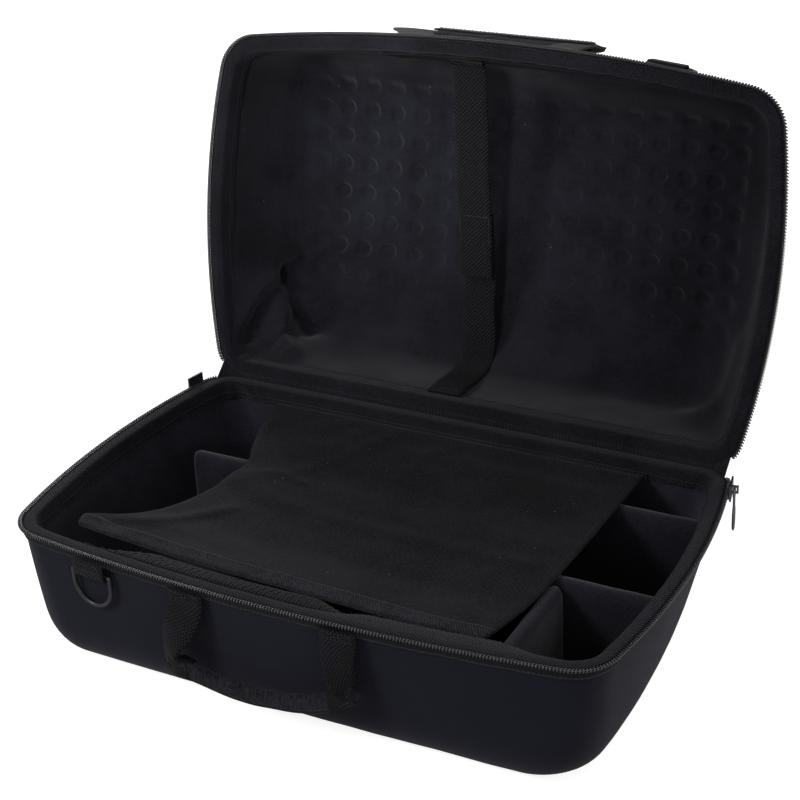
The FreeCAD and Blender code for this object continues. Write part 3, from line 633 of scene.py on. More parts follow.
PAD_CLOTH = cloth_finish("polyester_over_foam_sheet", "#15151d", "#24242f", plain_weave(1.4), 0.08, sheen=0.2,
                         mottle=0.4, grain=0.4, thread=1.2)
TWILL = cloth_finish("polyester_twill", "#030305", "#1a1a21", slanted_weave(1.9, 1.0), 0.12, sheen=0.06,
                     roughness=0.8, mottle=0.7, lint=0.3, grain=0.75, thread=1.25, contrast=0.45)
# The hem's twill has its ribs the other way, as cut on the bias, and its tones are painted lighter: a painted
# highlight along the hem where the cloth bends down.
HEM_TWILL_PAINTED_LIGHTER = cloth_finish("polyester_twill_on_the_bias", "#0b0b0e", "#34343c", slanted_weave(1.9, -1.0), 0.22,
                         sheen=0.1, mottle=0.35, grain=0.5, thread=1.1)
WEBBING = cloth_finish("polypropylene_webbing", "#010101", "#19191d", plain_weave(2.9), 0.6,
                       roughness=0.55, sheen=0.03, mottle=0.15, grain=0.15, thread=1.45, shine=0.14)
RIM_WEBBING = cloth_finish("polypropylene_webbing_fine", "#040405", "#202025", plain_weave(2.5), 0.35,
                           roughness=0.8, sheen=0.06, mottle=0.25, grain=0.2, thread=1.25)
WRAP_CLOTH = cloth_finish("polyester_oxford_weave", "#0a0a0d", "#2b2b32", plain_weave(1.6), 0.16, sheen=0.1,
                          mottle=0.3, grain=0.5, thread=1.1)
HOOK_TAPE = cloth_finish("nylon_hook_tape", "#151517", "#2a2a2d", plain_weave(0.9), 0.25, roughness=0.6,
                         sheen=0.1)
THREAD = cloth_finish("polyester_thread", "#1a1a1e", "#343439", slanted_weave(0.5), 0.03, roughness=0.6,
                      sheen=0.2)
print("cloth finishes:", len(bpy.data.materials))

# %% [markdown]
# ## Nylon and metal
# The zipper's coil is one nylon thread bent into teeth: smooth, black and glossy enough to catch a point of
# light on every turn. The D-rings are steel wire under satin black paint. Sliders and pulls are die-cast
# zinc with a dark plating, brighter where they are rubbed.

# %% Hard finishes
def hard_finish(name, dark, light, metallic, roughness, grain, depth, coat=0.0):
    """Smooth nylon, paint or plating, made uneven by a fine noise of the given grain."""
    material, tree, shader = new_finish(name)
    place = add(tree, "ShaderNodeTexCoord")
    cast = add(tree, "ShaderNodeTexNoise", {"Vector": place.outputs["Object"], "Scale": 1 / (grain * MM),
                                            "Detail": 3.0}).outputs["Fac"]
    colour = blended(tree, cast, linear(dark), linear(light))
    rough = spread(tree, cast, roughness - 0.08, roughness + 0.08)
    bump = add(tree, "ShaderNodeBump", {"Height": cast, "Strength": 0.5, "Distance": depth * MM})
    tree.links.new(colour, shader.inputs["Base Color"])
    tree.links.new(rough, shader.inputs["Roughness"])
    tree.links.new(bump.outputs[0], shader.inputs["Normal"])
    shader.inputs["Metallic"].default_value = metallic
    shader.inputs["Coat Weight"].default_value = coat
    shader.inputs["Coat Roughness"].default_value = 0.15
    return material


NYLON = hard_finish("nylon_coil", "#161619", "#242428", 0.0, 0.22, 3.0, 0.01, coat=0.8)
PAINTED_WIRE = hard_finish("satin_painted_steel_wire", "#101013", "#1a1a1e", 0.0, 0.38, 1.2, 0.02, coat=0.15)
PLATED_ZINC = hard_finish("black_nickel_plated_zinc", "#5a5a60", "#8c8c93", 1.0, 0.28, 1.5, 0.015)
print("hard finishes ready")

# %% [markdown]
# ## Rings of a tray
# The shell, the loose lining and the tapes are all the same outline at other insets. A layer is drawn ring
# by ring down the wall and round into the floor, and the floor is closed by drawing the last ring in to a
# line along the middle.

# %% Rings and floors
MIDDLE_REACH = LENGTH / 2 - WIDTH / 2
CENTRE_DEPTH = 0.2
UNDER_TAPE = BINDING + PLY_GAP


def rings(half, rows, fine=1):
    """Wall points for rows of (inset, depth), with their outward plan directions."""
    walls, turns = [], []
    for inset, depth in rows:
        plan, away = outline(half, max(depth, 0), inset, fine)
        walls.append(at_depth(plan, half, depth))
        turns.append(away)
    return np.array(walls), np.array(turns)


print(f"the middle line of a floor is {2 * MIDDLE_REACH:.0f} mm long")

# %% [markdown]
# ## Cloth on walls and floors
# A piece's texture runs the way its cloth was cut: along the rim and down the wall, and straight across a
# floor.

# %% Cloth on walls and floors
def wall_cloth(wall, fine=1):
    """Cloth directions on a wall: along the rim and down the wall."""
    plan = outline(BASE, 0, 0, fine)[0]
    around = lengths_along(np.vstack([plan, plan[:1]]))
    down = lengths_along(wall[:, 0])
    return np.stack(np.meshgrid(around, down), -1)


def floor_of(ring, rows):
    """Rings that carry the last one in to a line along the middle."""
    across = np.clip(ring[:, 0], -MIDDLE_REACH, MIDDLE_REACH)
    facing = (len(ring) // 2 - np.arange(len(ring))) % len(ring)
    middle = ring * [0.0, 0.0, 1.0]
    middle[:, 0] = (across + across[facing]) / 2
    share = np.linspace(0, 1, rows)[:, None, None]
    return ring + (middle - ring) * share


def closed_cloth(points):
    """Cloth directions of a floor, with the first column repeated at the seam."""
    whole = np.concatenate([points, points[:, :1]], 1)
    return whole[..., :2]


print(f"a floor drawn in 24 rows has {floor_of(at_depth(rim_plan, BASE, RIM), 24).size // 3} points")

# %% [markdown]
# ## Layers
# A layer is pushed inwards by a formula that is given to it, so the shells and linings differ only in their
# rows and in that formula.

# %% Layers
def inward(points, half):
    """Unit directions square to a layer, towards the inside of its tray."""
    along = np.roll(points, -1, 1) - np.roll(points, 1, 1)
    down = np.gradient(points, axis=0)
    square = unit(np.cross(along, down))
    centre = np.array([0.0, 0.0, level(half, half.depth * CENTRE_DEPTH)])
    facing = np.sum(square * (centre - points), -1, keepdims=True)
    return square * np.where(facing < 0, -1.0, 1.0)


def layer(half, rows, floor_rows, shape, fine=1, flip=False):
    """One layer of a tray; shape(points, inwards) gives how far each point is pushed inwards."""
    wall = rings(half, rows, fine)[0]
    whole = np.concatenate([wall, floor_of(wall[-1], floor_rows)[1:]])
    into = inward(whole, half)
    into[-1] = [0.0, 0.0, -half.way]
    pushed = whole + into * shape(whole)[..., None]
    split = len(wall)
    floor = pushed[split - 1:]
    return joined([grid(pushed[:split], wall_cloth(wall, fine), around=True, flip=flip),
                   grid(floor, closed_cloth(floor), around=True, flip=flip)])


print("layers start", UNDER_TAPE, "mm under the rim")

# %% [markdown]
# ## Moulded shells
# Each half is a sheet of foam laminated with knit, heated and pressed over a mould. That leaves full round
# edges and walls that are never quite flat, so the drawn form gets a slow unevenness of half a millimetre.

# %% Shells
def shell_unevenness(points):
    """How far the pressed foam is off its form, by about half a millimetre."""
    return 0.45 * ripple(points, 70.0, 3.1) + 0.15 * ripple(points, 22.0, 8.2)


for half, fullness in ((BASE, 0.66), (LID, 0.85)):
    rows = wall_profile(half, 0.0, UNDER_TAPE, round_rows=18, fullness=fullness)
    skin = layer(half, rows, 24, shell_unevenness, flip=half is BASE)
    piece(f"{half.name}_shell_moulding", skin, SHELL_KNIT, half.name, [f"{half.name}_shell"],
          lid=half is LID, thick=SHELL, weld=True)

# %% [markdown]
# ## Linings
# The lining is a bag of thin cloth caught only at the rims, so it does not touch the foam everywhere. In
# the base it lies smooth. In the lid it covers a foam sheet pressed with rows of round dimples, and it
# hangs loose in the corner by the hinge, where it draws up into a forked pucker. Folds are laid as soft
# ridges and valleys along short paths of (x, y, depth), each with its width and height.

# %% Folds
Fold = namedtuple("Fold", "path width height")
LID_FOLDS = (
    Fold([(-150, 92, 66), (-120, 88, 74)], 38, 9),
    Fold([(-172, 56, 43), (-170, 78, 38), (-164, 96, 32)], 25, 10),
    Fold([(-166, 43, 58), (-172, 54, 44), (-179, 70, 27), (-183, 88, 12), (-186, 107, 3)], 7, 4),
    Fold([(-165, 46, 57), (-170, 58, 44), (-173, 66, 36), (-176, 86, 21), (-178, 100, 12)], 7, -9.5),
    Fold([(-173, 63, 38), (-169, 74, 35), (-166, 86, 32), (-158, 99, 25), (-148, 106, 20)], 7, 6.5),
    Fold([(-170, 54, 46), (-164, 70, 44), (-156, 84, 44), (-150, 98, 46)], 9, -6),
    Fold([(-183, -64, 46), (-184, -20, 50), (-181, 34, 54)], 5, 2.2),
    Fold([(-120, 108, 60), (-40, 104, 66), (60, 106, 62)], 16, 4),
    Fold([(-90, 62, 78), (-20, 88, 77), (70, 84, 77)], 14, 2.2),
    Fold([(176, 60, 52), (168, 92, 50), (150, 106, 46)], 12, 4),
    Fold([(10, -100, 58), (90, -98, 60), (150, -88, 58)], 12, 2),
    Fold([(-150, 52, 74), (-110, 24, 77), (-70, -16, 78)], 5, 1.6),
    Fold([(-166, -80, 60), (-170, -20, 64), (-168, 30, 66)], 5, -1.8),
)
BASE_FOLDS = (
    Fold([(-182, 60, 30), (-172, 96, 38), (-140, 110, 44)], 12, 2.4),
    Fold([(-192, 10, 26), (-188, 50, 30), (-180, 84, 34)], 9, 1.6),
    Fold([(190, 20, 24), (188, 60, 30), (176, 94, 36)], 8, 1.8),
    Fold([(186, -60, 40), (194, -30, 18)], 6, 1.6),
    Fold([(-150, -108, 40), (-176, -92, 46), (-190, -60, 44)], 10, 1.8),
)


def fold_height(points, half, folds):
    """Sum of the folds' heights: each fades from its path as a bell curve of its width."""
    height = np.zeros(points.shape[:-1])
    cloth = points.reshape(-1, 3)
    for fold in folds:
        path = smooth_path([(x, y, level(half, depth)) for x, y, depth in fold.path], 24)
        path = cloth[[np.argmin(np.linalg.norm(cloth - stop, axis=1)) for stop in path]]
        path[1:-1] = (path[:-2] + 2 * path[1:-1] + path[2:]) / 4
        away = np.linalg.norm(points[..., None, :] - path, axis=-1).min(-1)
        height += fold.height * np.exp(-(away / fold.width) ** 2)
    return height


print(f"{len(LID_FOLDS)} folds in the lid and {len(BASE_FOLDS)} in the base")

# %% [markdown]
# ## Dimples
# The lid's foam has round hollows pressed into it in rows, and the lining follows them loosely. One formula
# of the distance to the nearest hollow's middle draws them all. They fade towards the hinge, where the
# lining hangs free of the foam, and towards the middle, where the strap has pulled it taut.

# %% Dimples
DIMPLE_PITCH, DIMPLE_RADIUS, DIMPLE_EDGE, DIMPLE_DEPTH = 20.0, 6.9, 3.2, 2.9
DIMPLE_ROWS = (-90.0, -84.0, 42.0, 66.0)
DIMPLE_REACH = (160.0, 166.0)


def dimple_height(points):
    """Round presses in rows, fading at the edges of the foam sheet."""
    x, y, depth = points[..., 0], points[..., 1], points[..., 2] - LID.rim
    column = (x / DIMPLE_PITCH - 0.5) % 1 - 0.5
    row = (y / DIMPLE_PITCH - 0.25) % 1 - 0.5
    away = np.hypot(column, row) * DIMPLE_PITCH
    cup = 1 - eased_step(away, DIMPLE_RADIUS - 3.0, DIMPLE_RADIUS - 3.0 + DIMPLE_EDGE)
    on_back = np.clip((depth - 60) / 8, 0, 1)
    front, front_full, rear_full, rear = DIMPLE_ROWS
    fade = np.clip((rear - y) / (rear - rear_full), 0, 1) * np.clip((y - front) / (front_full - front), 0, 1)
    middle = 0.45 + 0.55 * np.clip(np.abs(x) / 100 - 0.4, 0, 1)
    limit = np.clip((DIMPLE_REACH[1] - np.abs(x)) / (DIMPLE_REACH[1] - DIMPLE_REACH[0]), 0, 1)
    return -DIMPLE_DEPTH * cup * on_back * fade * middle * limit


print(f"dimples {2 * DIMPLE_RADIUS:.1f} mm wide, {DIMPLE_PITCH:.0f} mm apart")

# %% [markdown]
# ## Shapes of the linings
# Each lining is held at its rim and stands in from the shell by its slack, its folds and, in the lid, the
# foam sheet behind it.

# %% Lining shapes
PAD_THICKNESS = 3.4


def lid_lining_shape(points):
    """How far the lid's lining stands in from the shell: foam sheet, slack, folds and dimples."""
    depth = points[..., 2] - LID.rim
    padding = PAD_THICKNESS * np.clip((depth - 56) / 16, 0, 1)
    slack = 0.9 * ripple(points, 60.0, 1.7) + 0.35 * ripple(points, 21.0, 5.3)
    hold = np.clip(depth / 14, 0, 1)
    drape = hold * (0.8 + slack + fold_height(points, LID, LID_FOLDS))
    return padding + np.maximum(drape, 0.0) + dimple_height(points)


def base_lining_shape(points):
    """How far the base's lining stands in from the shell: a little slack and a few folds."""
    depth = RIM - points[..., 2]
    slack = 0.35 * ripple(points, 55.0, 4.4) + 0.2 * ripple(points, 18.0, 9.1)
    hold = np.clip(depth / 14, 0, 1)
    return hold * (0.2 + slack + fold_height(points, BASE, BASE_FOLDS))


print(f"foam sheet {PAD_THICKNESS} mm thick behind the lid's lining")

# %% [markdown]
# ## The two lining bags
# Each lining starts under the rim tape and follows its tray's wall down and across the floor. The lid's is
# drawn twice as fine, because its dimples are small. It also hides the frame's foam sheet, whose form it
# shows.

# %% Linings
for half, shape, cloth, hidden in ((BASE, base_lining_shape, TRAY_LINING_PAINTED_LIGHTER, []),
                                   (LID, lid_lining_shape, LINING_CLOTH, ["lid_back_pad"])):
    rows = wall_profile(half, LINING_IN, UNDER_TAPE, straight_rows=18, round_rows=16)
    bag = layer(half, rows, 50, shape, fine=2 if half is LID else 1, flip=half is LID)
    piece(f"{half.name}_lining_cloth", bag, cloth, half.name, [f"{half.name}_lining"] + hidden,
          lid=half is LID, thick=1.0, weld=True)

# %% [markdown]
# ## Rim binding
# A grosgrain tape is folded over the raw edges of shell and lining and stitched through. It is pulled round
# the corners by hand, so its inner edge puckers, more in the corners than on the straights. A row of
# lockstitch runs near that edge. Stitches could be a bump in the finish, but they stand proud of the cloth
# and catch the light, so each one is a short arched thread.

# %% Stitches
STITCH_SHARE = 0.72
print(f"a stitch covers {STITCH_SHARE:.0%} of its pitch")


def stitches(path, side, up, pitch=3.4, width=0.55, height=0.28):
    """A row of lockstitch: each stitch is a short thread that rises from the cloth and dips back."""
    travelled = lengths_along(path)
    shape = np.linspace(-0.5, 0.5, 5)
    lift = height * (1 - (2 * shape) ** 2)
    turns = np.linspace(0, 2 * math.pi, 5, endpoint=False)
    ring = np.stack([np.cos(turns) * width / 2, np.sin(turns) * height * 0.8], 1)
    parts = []
    for number in range(int(travelled[-1] // pitch)):
        stops = (number + 0.5 + shape * STITCH_SHARE) * pitch
        middle, across, high = (along_path(stops, travelled, values) for values in (path, side, up))
        raised = middle + unit(high) * lift[:, None]
        parts.append(sweep(raised, unit(across), unit(high), ring, capped=False))
    return joined(parts)


# %% [markdown]
# ## The folded tape
# The tape is drawn as rows of (inset, depth) that go up over the rim and down inside. Right of the base's
# webbing the foam edge is pressed outwards less, so there the tape's inner rows are laid over as a narrow
# shelf.

# %% Rows of the tape
BINDING_ROWS = ((-0.35, 1.15), (-0.55, 0.6), (-0.3, 0.05), (0.6, -0.3), (2.2, -0.45), (4.2, -0.5),
                (6.2, -0.4), (7.5, -0.1), (8.2, 0.6), (8.4, 2.0), (8.45, 4.4), (8.45, 7.0), (8.4, 9.4),
                (8.3, 11.4))
SHELF_LEAN = (2.6, 5.6, 8.4, 10.6, 11.4, 10.4)
SHELF_RISE = (0.0, 0.6, 2.0, 3.4, 3.4, 2.2)
SHELF_START, SHELF_END = (10, 60), (138, 182)


def laid_over(wall, away):
    """Rows of the base's tape, with the inner ones leaning in and up along the front at the right."""
    x, y = wall[0, :, 0], wall[0, :, 1]
    share = eased_step(x, *SHELF_START) * (1 - eased_step(x, *SHELF_END)) * (y < 0)
    leans, rises = np.zeros(len(wall)), np.zeros(len(wall))
    leans[-len(SHELF_LEAN):], rises[-len(SHELF_RISE):] = SHELF_LEAN, SHELF_RISE
    wall[..., :2] -= away * (leans[:, None] * share)[..., None]
    wall[..., 2] += rises[:, None] * share
    return wall


print(f"the shelf leans in by up to {max(SHELF_LEAN):.0f} mm")

# %% [markdown]
# ## Puckers
# Tape that is pulled round a corner gathers at its inner edge. So the outline's bend is measured, and the
# ripples grow with it and towards that edge.

# %% Bindings
def binding(half, seed):
    """The tape with its puckers, and the row of stitches near its inner edge."""
    wall, away = rings(half, BINDING_ROWS, fine=2)
    plan = wall[0, :, :2].copy()
    if half is BASE:
        wall = laid_over(wall, away)
    bend = np.linalg.norm(np.roll(away[0], -1, 0) - away[0], axis=1)
    bend = np.convolve(np.tile(bend, 3), np.ones(41) / 41, "same")[len(bend):2 * len(bend)]
    tight = 0.35 + 0.65 * np.clip(bend / bend.max() * 1.4, 0, 1)
    rows = np.linspace(0, 1, len(wall))[:, None]
    around = lengths_along(np.vstack([plan, plan[:1]]))
    along = np.broadcast_to(around[:-1], wall.shape[:2])
    turn = along / rim_length * 2 * math.pi
    flow = np.stack([np.cos(turn) * rim_length / 6.3, np.sin(turn) * rim_length / 6.3,
                     np.broadcast_to(rows * 14, along.shape)], -1)
    pucker = (1.0 * ripple(flow, 7.0, seed) + 0.9 * ripple(flow, 19.0, seed + 4)) * (0.15 + 0.85 * rows ** 2)
    square = level_out(away)
    wall = wall - square * np.clip(pucker * tight, -0.25, 1.6)[..., None]
    wall[-3:, :, 2] += half.way * (0.5 * ripple(flow[-3:], 13.0, seed + 9) * tight)
    cloth = np.stack(np.meshgrid(around, lengths_along(wall[:, 0])), -1)
    tape = grid(wall, cloth, around=True, flip=half is LID)
    inwards = -np.vstack([square[0], square[0][:1]])
    row = np.vstack([wall[-3], wall[-3][:1]]) + inwards * 0.1
    return tape, stitches(row, same([0, 0, 1], len(row)), inwards)


for half, seed in ((BASE, 2.3), (LID, 6.1)):
    tape, thread = binding(half, seed)
    piece(f"{half.name}_rim_binding", tape, BINDING_TAPE, half.name, [f"{half.name}_binding"],
          lid=half is LID, thick=0.8)
    piece(f"{half.name}_binding_stitches", thread, THREAD, half.name, lid=half is LID)

# %% [markdown]
# ## Zipper
# Half of the zipper is sewn round the outside of each rim: a woven tape, and a coil of nylon whose turns
# are the teeth. The coil is a helix flattened to the tooth's section and carried along the rim, one turn
# for each tooth. The tape stops in the rear corners, where the fabric hinge begins.

# %% Zipper tape
ZIPPER_REAR = 119.0
ZIP_PITCH = 2.0
print(f"zipper runs round the front to y = {ZIPPER_REAR:.0f} mm, {ZIP_PITCH} mm a tooth")


def front_span(values, plan):
    """The part of a ring in front of the hinge, from the left rear round the front to the right."""
    shift = len(plan) // 2
    keep = np.flatnonzero(np.roll(plan, shift, 0)[:, 1] <= ZIPPER_REAR)
    return np.roll(values, shift, -2)[..., keep[0]:keep[-1] + 1, :]


TAPE_ROWS = ((-1.7, 0.1), (-1.25, 0.7), (-1.1, 1.8), (-1.1, 3.4), (-1.05, 5.0), (-1.0, 6.5))


def zipper_tape(half):
    """Half of the zipper's tape with a slight wave at its free edge, and its stitches."""
    wall, away = rings(half, TAPE_ROWS, fine=2)
    plan = wall[0, :, :2]
    span, square = front_span(wall, plan), front_span(level_out(away), plan)
    share = np.linspace(0, 1, len(TAPE_ROWS))[:, None]
    flow = span.copy()
    span = span + square * (0.25 * ripple(flow, 16.0, 7.7) * share)[..., None]
    span[-1, :, 2] += 0.25 * ripple(flow[-1], 11.0, 2.9)
    around = lengths_along(span[0])
    cloth = np.stack(np.meshgrid(around, lengths_along(span[:, 0])), -1)
    row = span[-2] + square[-2] * 0.1
    thread = stitches(row, same([0, 0, 1], len(row)), square[-2], pitch=3.0, width=0.45)
    return grid(span, cloth, flip=half is BASE), thread


for half in (BASE, LID):
    tape, thread = zipper_tape(half)
    piece(f"{half.name}_zip_tape", tape, ZIPPER_TAPE, half.name, [f"{half.name}_zipper_tape"],
          lid=half is LID, thick=0.7)
    piece(f"{half.name}_zip_stitches", thread, THREAD, half.name, lid=half is LID)

# %% [markdown]
# ## The coil
# A tooth stands about a millimetre out from the coil's middle and is thickest at its head, where the nylon
# was pressed. So the wire of the helix swells once a turn, and the heads read as a row of bright points.

# %% Zipper coil
COIL_INSET, COIL_DEPTH = -2.2, -0.2
COIL_OUT, COIL_UP, COIL_SLANT = 1.25, 0.85, 0.35
WIRE, WIRE_HEAD = 0.34, 0.2
CORD_OUT, CORD_UP = 0.6, 0.35
STEPS_A_TURN = 11


def zipper_coil(half):
    """Helix of teeth, and the cord that fills it."""
    wall, away = rings(half, ((COIL_INSET, COIL_DEPTH),), fine=2)
    span = front_span(wall, wall[0, :, :2])[0]
    square = front_span(away, wall[0, :, :2])[0]
    travelled = lengths_along(span)
    teeth = int(travelled[-1] / ZIP_PITCH)
    turns = np.arange(teeth * STEPS_A_TURN) / STEPS_A_TURN
    centre = along_path(turns * ZIP_PITCH, travelled, span)
    out = unit(level_out(along_path(turns * ZIP_PITCH, travelled, square)))
    angle = 2 * math.pi * turns
    up = np.array([0.0, 0.0, 1.0])
    path = centre + out * (COIL_OUT * np.cos(angle))[:, None] + up * (COIL_UP * np.sin(angle))[:, None]
    path += directions(centre) * (COIL_SLANT * np.cos(angle * 2))[:, None]
    ahead = directions(path)
    side = unit(np.cross(ahead, np.broadcast_to(out + 0.3, out.shape)))
    turn = np.linspace(0, 2 * math.pi, 6, endpoint=False)
    head = WIRE + WIRE_HEAD * np.clip(np.cos(angle), 0, 1)
    wire = np.stack([np.cos(turn), np.sin(turn)], 1) * head[:, None, None]
    coil = sweep(path, side, np.cross(ahead, side), wire)
    cord = np.stack([np.cos(turn) * CORD_OUT, np.sin(turn) * CORD_UP], 1)
    return joined([coil, sweep(span, level_out(square), same(up, len(span)), cord)]), teeth


for half in (BASE, LID):
    coil, teeth = zipper_coil(half)
    piece(f"{half.name}_zip_coil", coil, NYLON, half.name, [f"{half.name}_zipper_coil"],
          lid=half is LID)
    print(f"{half.name} coil has {teeth} teeth")

# %% [markdown]
# ## Reinforcing webbing
# Behind each front rim a webbing is stitched inside, where the handle's straps are bar-tacked through the
# wall. The lid's lies flat. The base's is slack between its stitched edges and bellies inwards as a ledge,
# with small even waves along it. Both are drawn as rows of (inset, depth) like the tapes, and the ledge
# dies away towards its ends.

# %% Rim webbing
LEDGE = ((0.2, 2.0), (3.0, 1.6), (6.6, 2.2), (10.4, 3.2), (13.8, 4.4), (16.6, 6.0), (18.4, 8.4), (18.4, 11.6),
         (16.0, 15.4), (11.0, 19.4), (5.2, 23.8), (1.6, 26.6))
FLAT_IN = 0.6
FLAT_BAND = [(FLAT_IN, depth) for depth in np.linspace(2.2, 26.8, 10)]
LEDGE_FADE = 48.0
WAVE_PITCH = 10.5


def rim_webbing(half, left, right, band):
    """Webbing along the inside of the front rim from left to right, following the band's rows."""
    wall, away = rings(half, [(SKIRT_IN + inset, depth) for inset, depth in band], fine=2)
    wall, away = (np.roll(values, values.shape[1] // 2, 1) for values in (wall, away))
    keep = np.flatnonzero((wall[0, :, 0] > left) & (wall[0, :, 0] < right) & (wall[0, :, 1] < 0))
    wall, square = wall[:, keep], level_out(away[:, keep])
    travelled = lengths_along(wall[0])
    across = np.linspace(0, 1, len(band))[:, None]
    tuck = 0.75 * np.sin(travelled / WAVE_PITCH * 2 * math.pi) ** 4 * np.sin(across * math.pi * 2.0) ** 2
    puff = tuck + 0.3 * ripple(wall, 14.0, 6.6)
    wall = wall - square * (0.5 + puff)[..., None]
    if half is BASE:
        ends = eased_step(np.minimum(travelled, travelled[-1] - travelled), 0, LEDGE_FADE)
        inset = np.array([row[0] for row in band])[:, None]
        wall = wall + square * ((1 - ends) * (inset - np.minimum(inset, FLAT_IN)))[..., None]
        wall[..., 2] += 0.8 * puff
    cloth = np.stack(np.meshgrid(travelled, lengths_along(wall[:, 0])), -1)[..., ::-1]
    return grid(wall, cloth, flip=half is LID)


for half, left, right, band in ((BASE, -145, 62, LEDGE), (LID, -80, 140, FLAT_BAND)):
    piece(f"{half.name}_rim_webbing_band", rim_webbing(half, left, right, band), RIM_WEBBING, half.name,
          [f"{half.name}_rim_webbing"], lid=half is LID, thick=1.1, offset=0.0)

# %% [markdown]
# ## Fabric hinge
# One strip of tape joins the halves: it is sewn to the outside of both rear walls, from one zipper end to
# the other, and folds at the seam. It is drawn with the lid closed and rolled open about the hinge line,
# the lid's rows all the way and the base's not at all.

# %% Hinge
HINGE_REACH, HINGE_ROWS = 18.0, 10
HINGE_OUT, HINGE_FRONT = 0.75, 115.5


def hinge_strip():
    """The strip over both rear walls, rolled open about the hinge line."""
    rows = [(depth, BASE) for depth in np.linspace(HINGE_REACH, 0, HINGE_ROWS)]
    rows += [(depth, LID) for depth in np.linspace(0, HINGE_REACH, HINGE_ROWS)]
    plans = [outline(half, depth, -HINGE_OUT, fine=2)[0] for depth, half in rows]
    wall = np.array([at_depth(plan, half, depth) for plan, (depth, half) in zip(plans, rows)])
    wall = wall[:, wall[0, :, 1] > HINGE_FRONT]
    wall = wall[:, np.argsort(-wall[0, :, 0])]
    wall[..., 1] += 0.2 * ripple(wall, 24.0, 3.3)
    turned = opened(wall, eased_step(wall[..., 2], RIM - 0.5, RIM + SEAM_GAP + 0.5))
    down = np.linspace(0, 2 * HINGE_REACH + SEAM_GAP, len(rows))
    return grid(turned, np.stack(np.meshgrid(wall[0, :, 0], down), -1))


hinge = piece("fabric_hinge", hinge_strip(), BINDING_TAPE,
              replaces=["base_hinge_leaf", "lid_hinge_leaf", "hinge_roll"], thick=0.8, offset=0.0)
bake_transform(hinge)

# %% [markdown]
# ## Padding in the base
# Five padded dividers stand on a slab of cloth-covered foam. Where one meets the tray's wall it is cut to
# the wall, which leans and curves, so its end is found from the same outline as the lining, a little
# further in.

# %% Room for the padding
ROOM_IN = SKIRT_IN + 1.0


def room_plan(z):
    """Plan of the free room inside the base at a height."""
    depth = np.clip(RIM - z, 0, RIM)
    straight = BASE.depth - BOTTOM_ROUND
    turn = np.arcsin(np.clip((depth - straight) / (BOTTOM_ROUND - ROOM_IN), 0, 1))
    inset = ROOM_IN + (BOTTOM_ROUND - ROOM_IN) * (1 - np.cos(turn))
    return outline(BASE, float(depth), float(inset))[0]


def wall_reach(y, z):
    """How far right the free room inside the base goes at this y and z."""
    plan = room_plan(z)
    right = plan[:len(plan) // 2 + 1]
    return np.interp(y, right[:, 1], right[:, 0])


def front_reach(x, z):
    """How far forward the free room inside the base goes at this x and z."""
    plan = room_plan(z)
    ahead = plan[:len(plan) // 6]
    return np.interp(x, ahead[:, 0], ahead[:, 1])


print(f"room at half height reaches x = {wall_reach(0.0, RIM / 2):.0f} mm")

# %% [markdown]
# ## Section of a divider
# Each divider is a pillow: foam in a sewn cover with a full round top. A box with a bevel would look like
# board.

# %% Pillow section
def pillow_section(thick, low, high):
    """Half-round top on a slab, as (across, height) pairs round the section."""
    radius = thick / 2
    angles = np.linspace(0, math.pi, 9)
    top = [(radius * math.cos(a), high - radius + radius * math.sin(a)) for a in angles]
    left = [(-radius, z) for z in np.linspace(high - radius, low + 2, 6)[1:]]
    right = [(radius, z) for z in np.linspace(low + 2, high - radius, 6)[:-1]]
    return np.array(top + left + [(-radius + 2, low), (radius - 2, low)] + right)


print(f"a pillow's section has {len(pillow_section(8.0, 0.0, 50.0))} points")

# %% [markdown]
# ## Dividers
# The section is carried along each divider and squeezed at its free ends, and its faces are never quite
# flat. The ends that meet a wall are cut to it.

# %% Dividers
CUT_AT_RIGHT, CUT_AT_FRONT = ("rear_divider", "front_divider"), ("right_cross_divider",)
END_ROUND, END_DROP, FAR = 5.0, 2.2, 99.0


def divider(name, seed):
    """Draws a divider from its frame piece's box; an end past the room is cut to the wall."""
    low, high = box_of(name)
    along_x = high[0] - low[0] > high[1] - low[1]
    axis, other = (0, 1) if along_x else (1, 0)
    middle = (low[other] + high[other]) / 2
    section = pillow_section(high[other] - low[other], low[2], high[2])
    to_right, to_front = name in CUT_AT_RIGHT, name in CUT_AT_FRONT
    ends = np.tile([low[axis], high[axis]], (len(section), 1))
    for spot, (across, z) in enumerate(section):
        if to_right:
            ends[spot, 1] = wall_reach(middle + across, z)
        if to_front:
            ends[spot, 0] = front_reach(middle + across, z)
    share = 0.5 - 0.5 * np.cos(np.linspace(0, math.pi, 40))
    along = ends[:, 0] + share[:, None] * (ends[:, 1] - ends[:, 0])
    soft = (not to_front, not to_right)
    from_low = np.where(soft[0], along - ends[:, 0], FAR)
    from_high = np.where(soft[1], ends[:, 1] - along, FAR)
    squeeze = np.sqrt(1 - np.clip(1 - np.minimum(from_low, from_high) / END_ROUND, 0, 0.93) ** 2)
    high_part = (section[:, 1] - low[2]) / (high[2] - low[2])
    wide = middle + section[:, 0] * squeeze
    tall = low[2] + high_part * (high[2] - low[2] - END_DROP * (1 - squeeze))
    points = np.stack([along, wide, tall] if along_x else [wide, along, tall], -1)
    points[..., other] -= 0.5 * np.abs(ripple(points, 26.0, seed)) * np.sign(section[:, 0])
    points[..., 2] -= 0.5 * np.abs(ripple(points, 34.0, seed + 3)) * high_part
    around = lengths_along(np.vstack([section, section[:1]]))
    cloth = np.stack(np.meshgrid(around, along.mean(1)), -1)
    tube = grid(points, cloth, around=True)
    caps = end_caps(points, lambda strip: strip[..., [other, 2]], (False, True))
    item = piece(name.replace("divider", "padded_divider"), joined([tube] + caps), PAD_CLOTH, "base",
                 [name])


for seed, name in enumerate(("rear_divider", "front_divider", "left_divider", "middle_cross_divider",
                             "right_cross_divider")):
    divider(name, seed * 2.7)

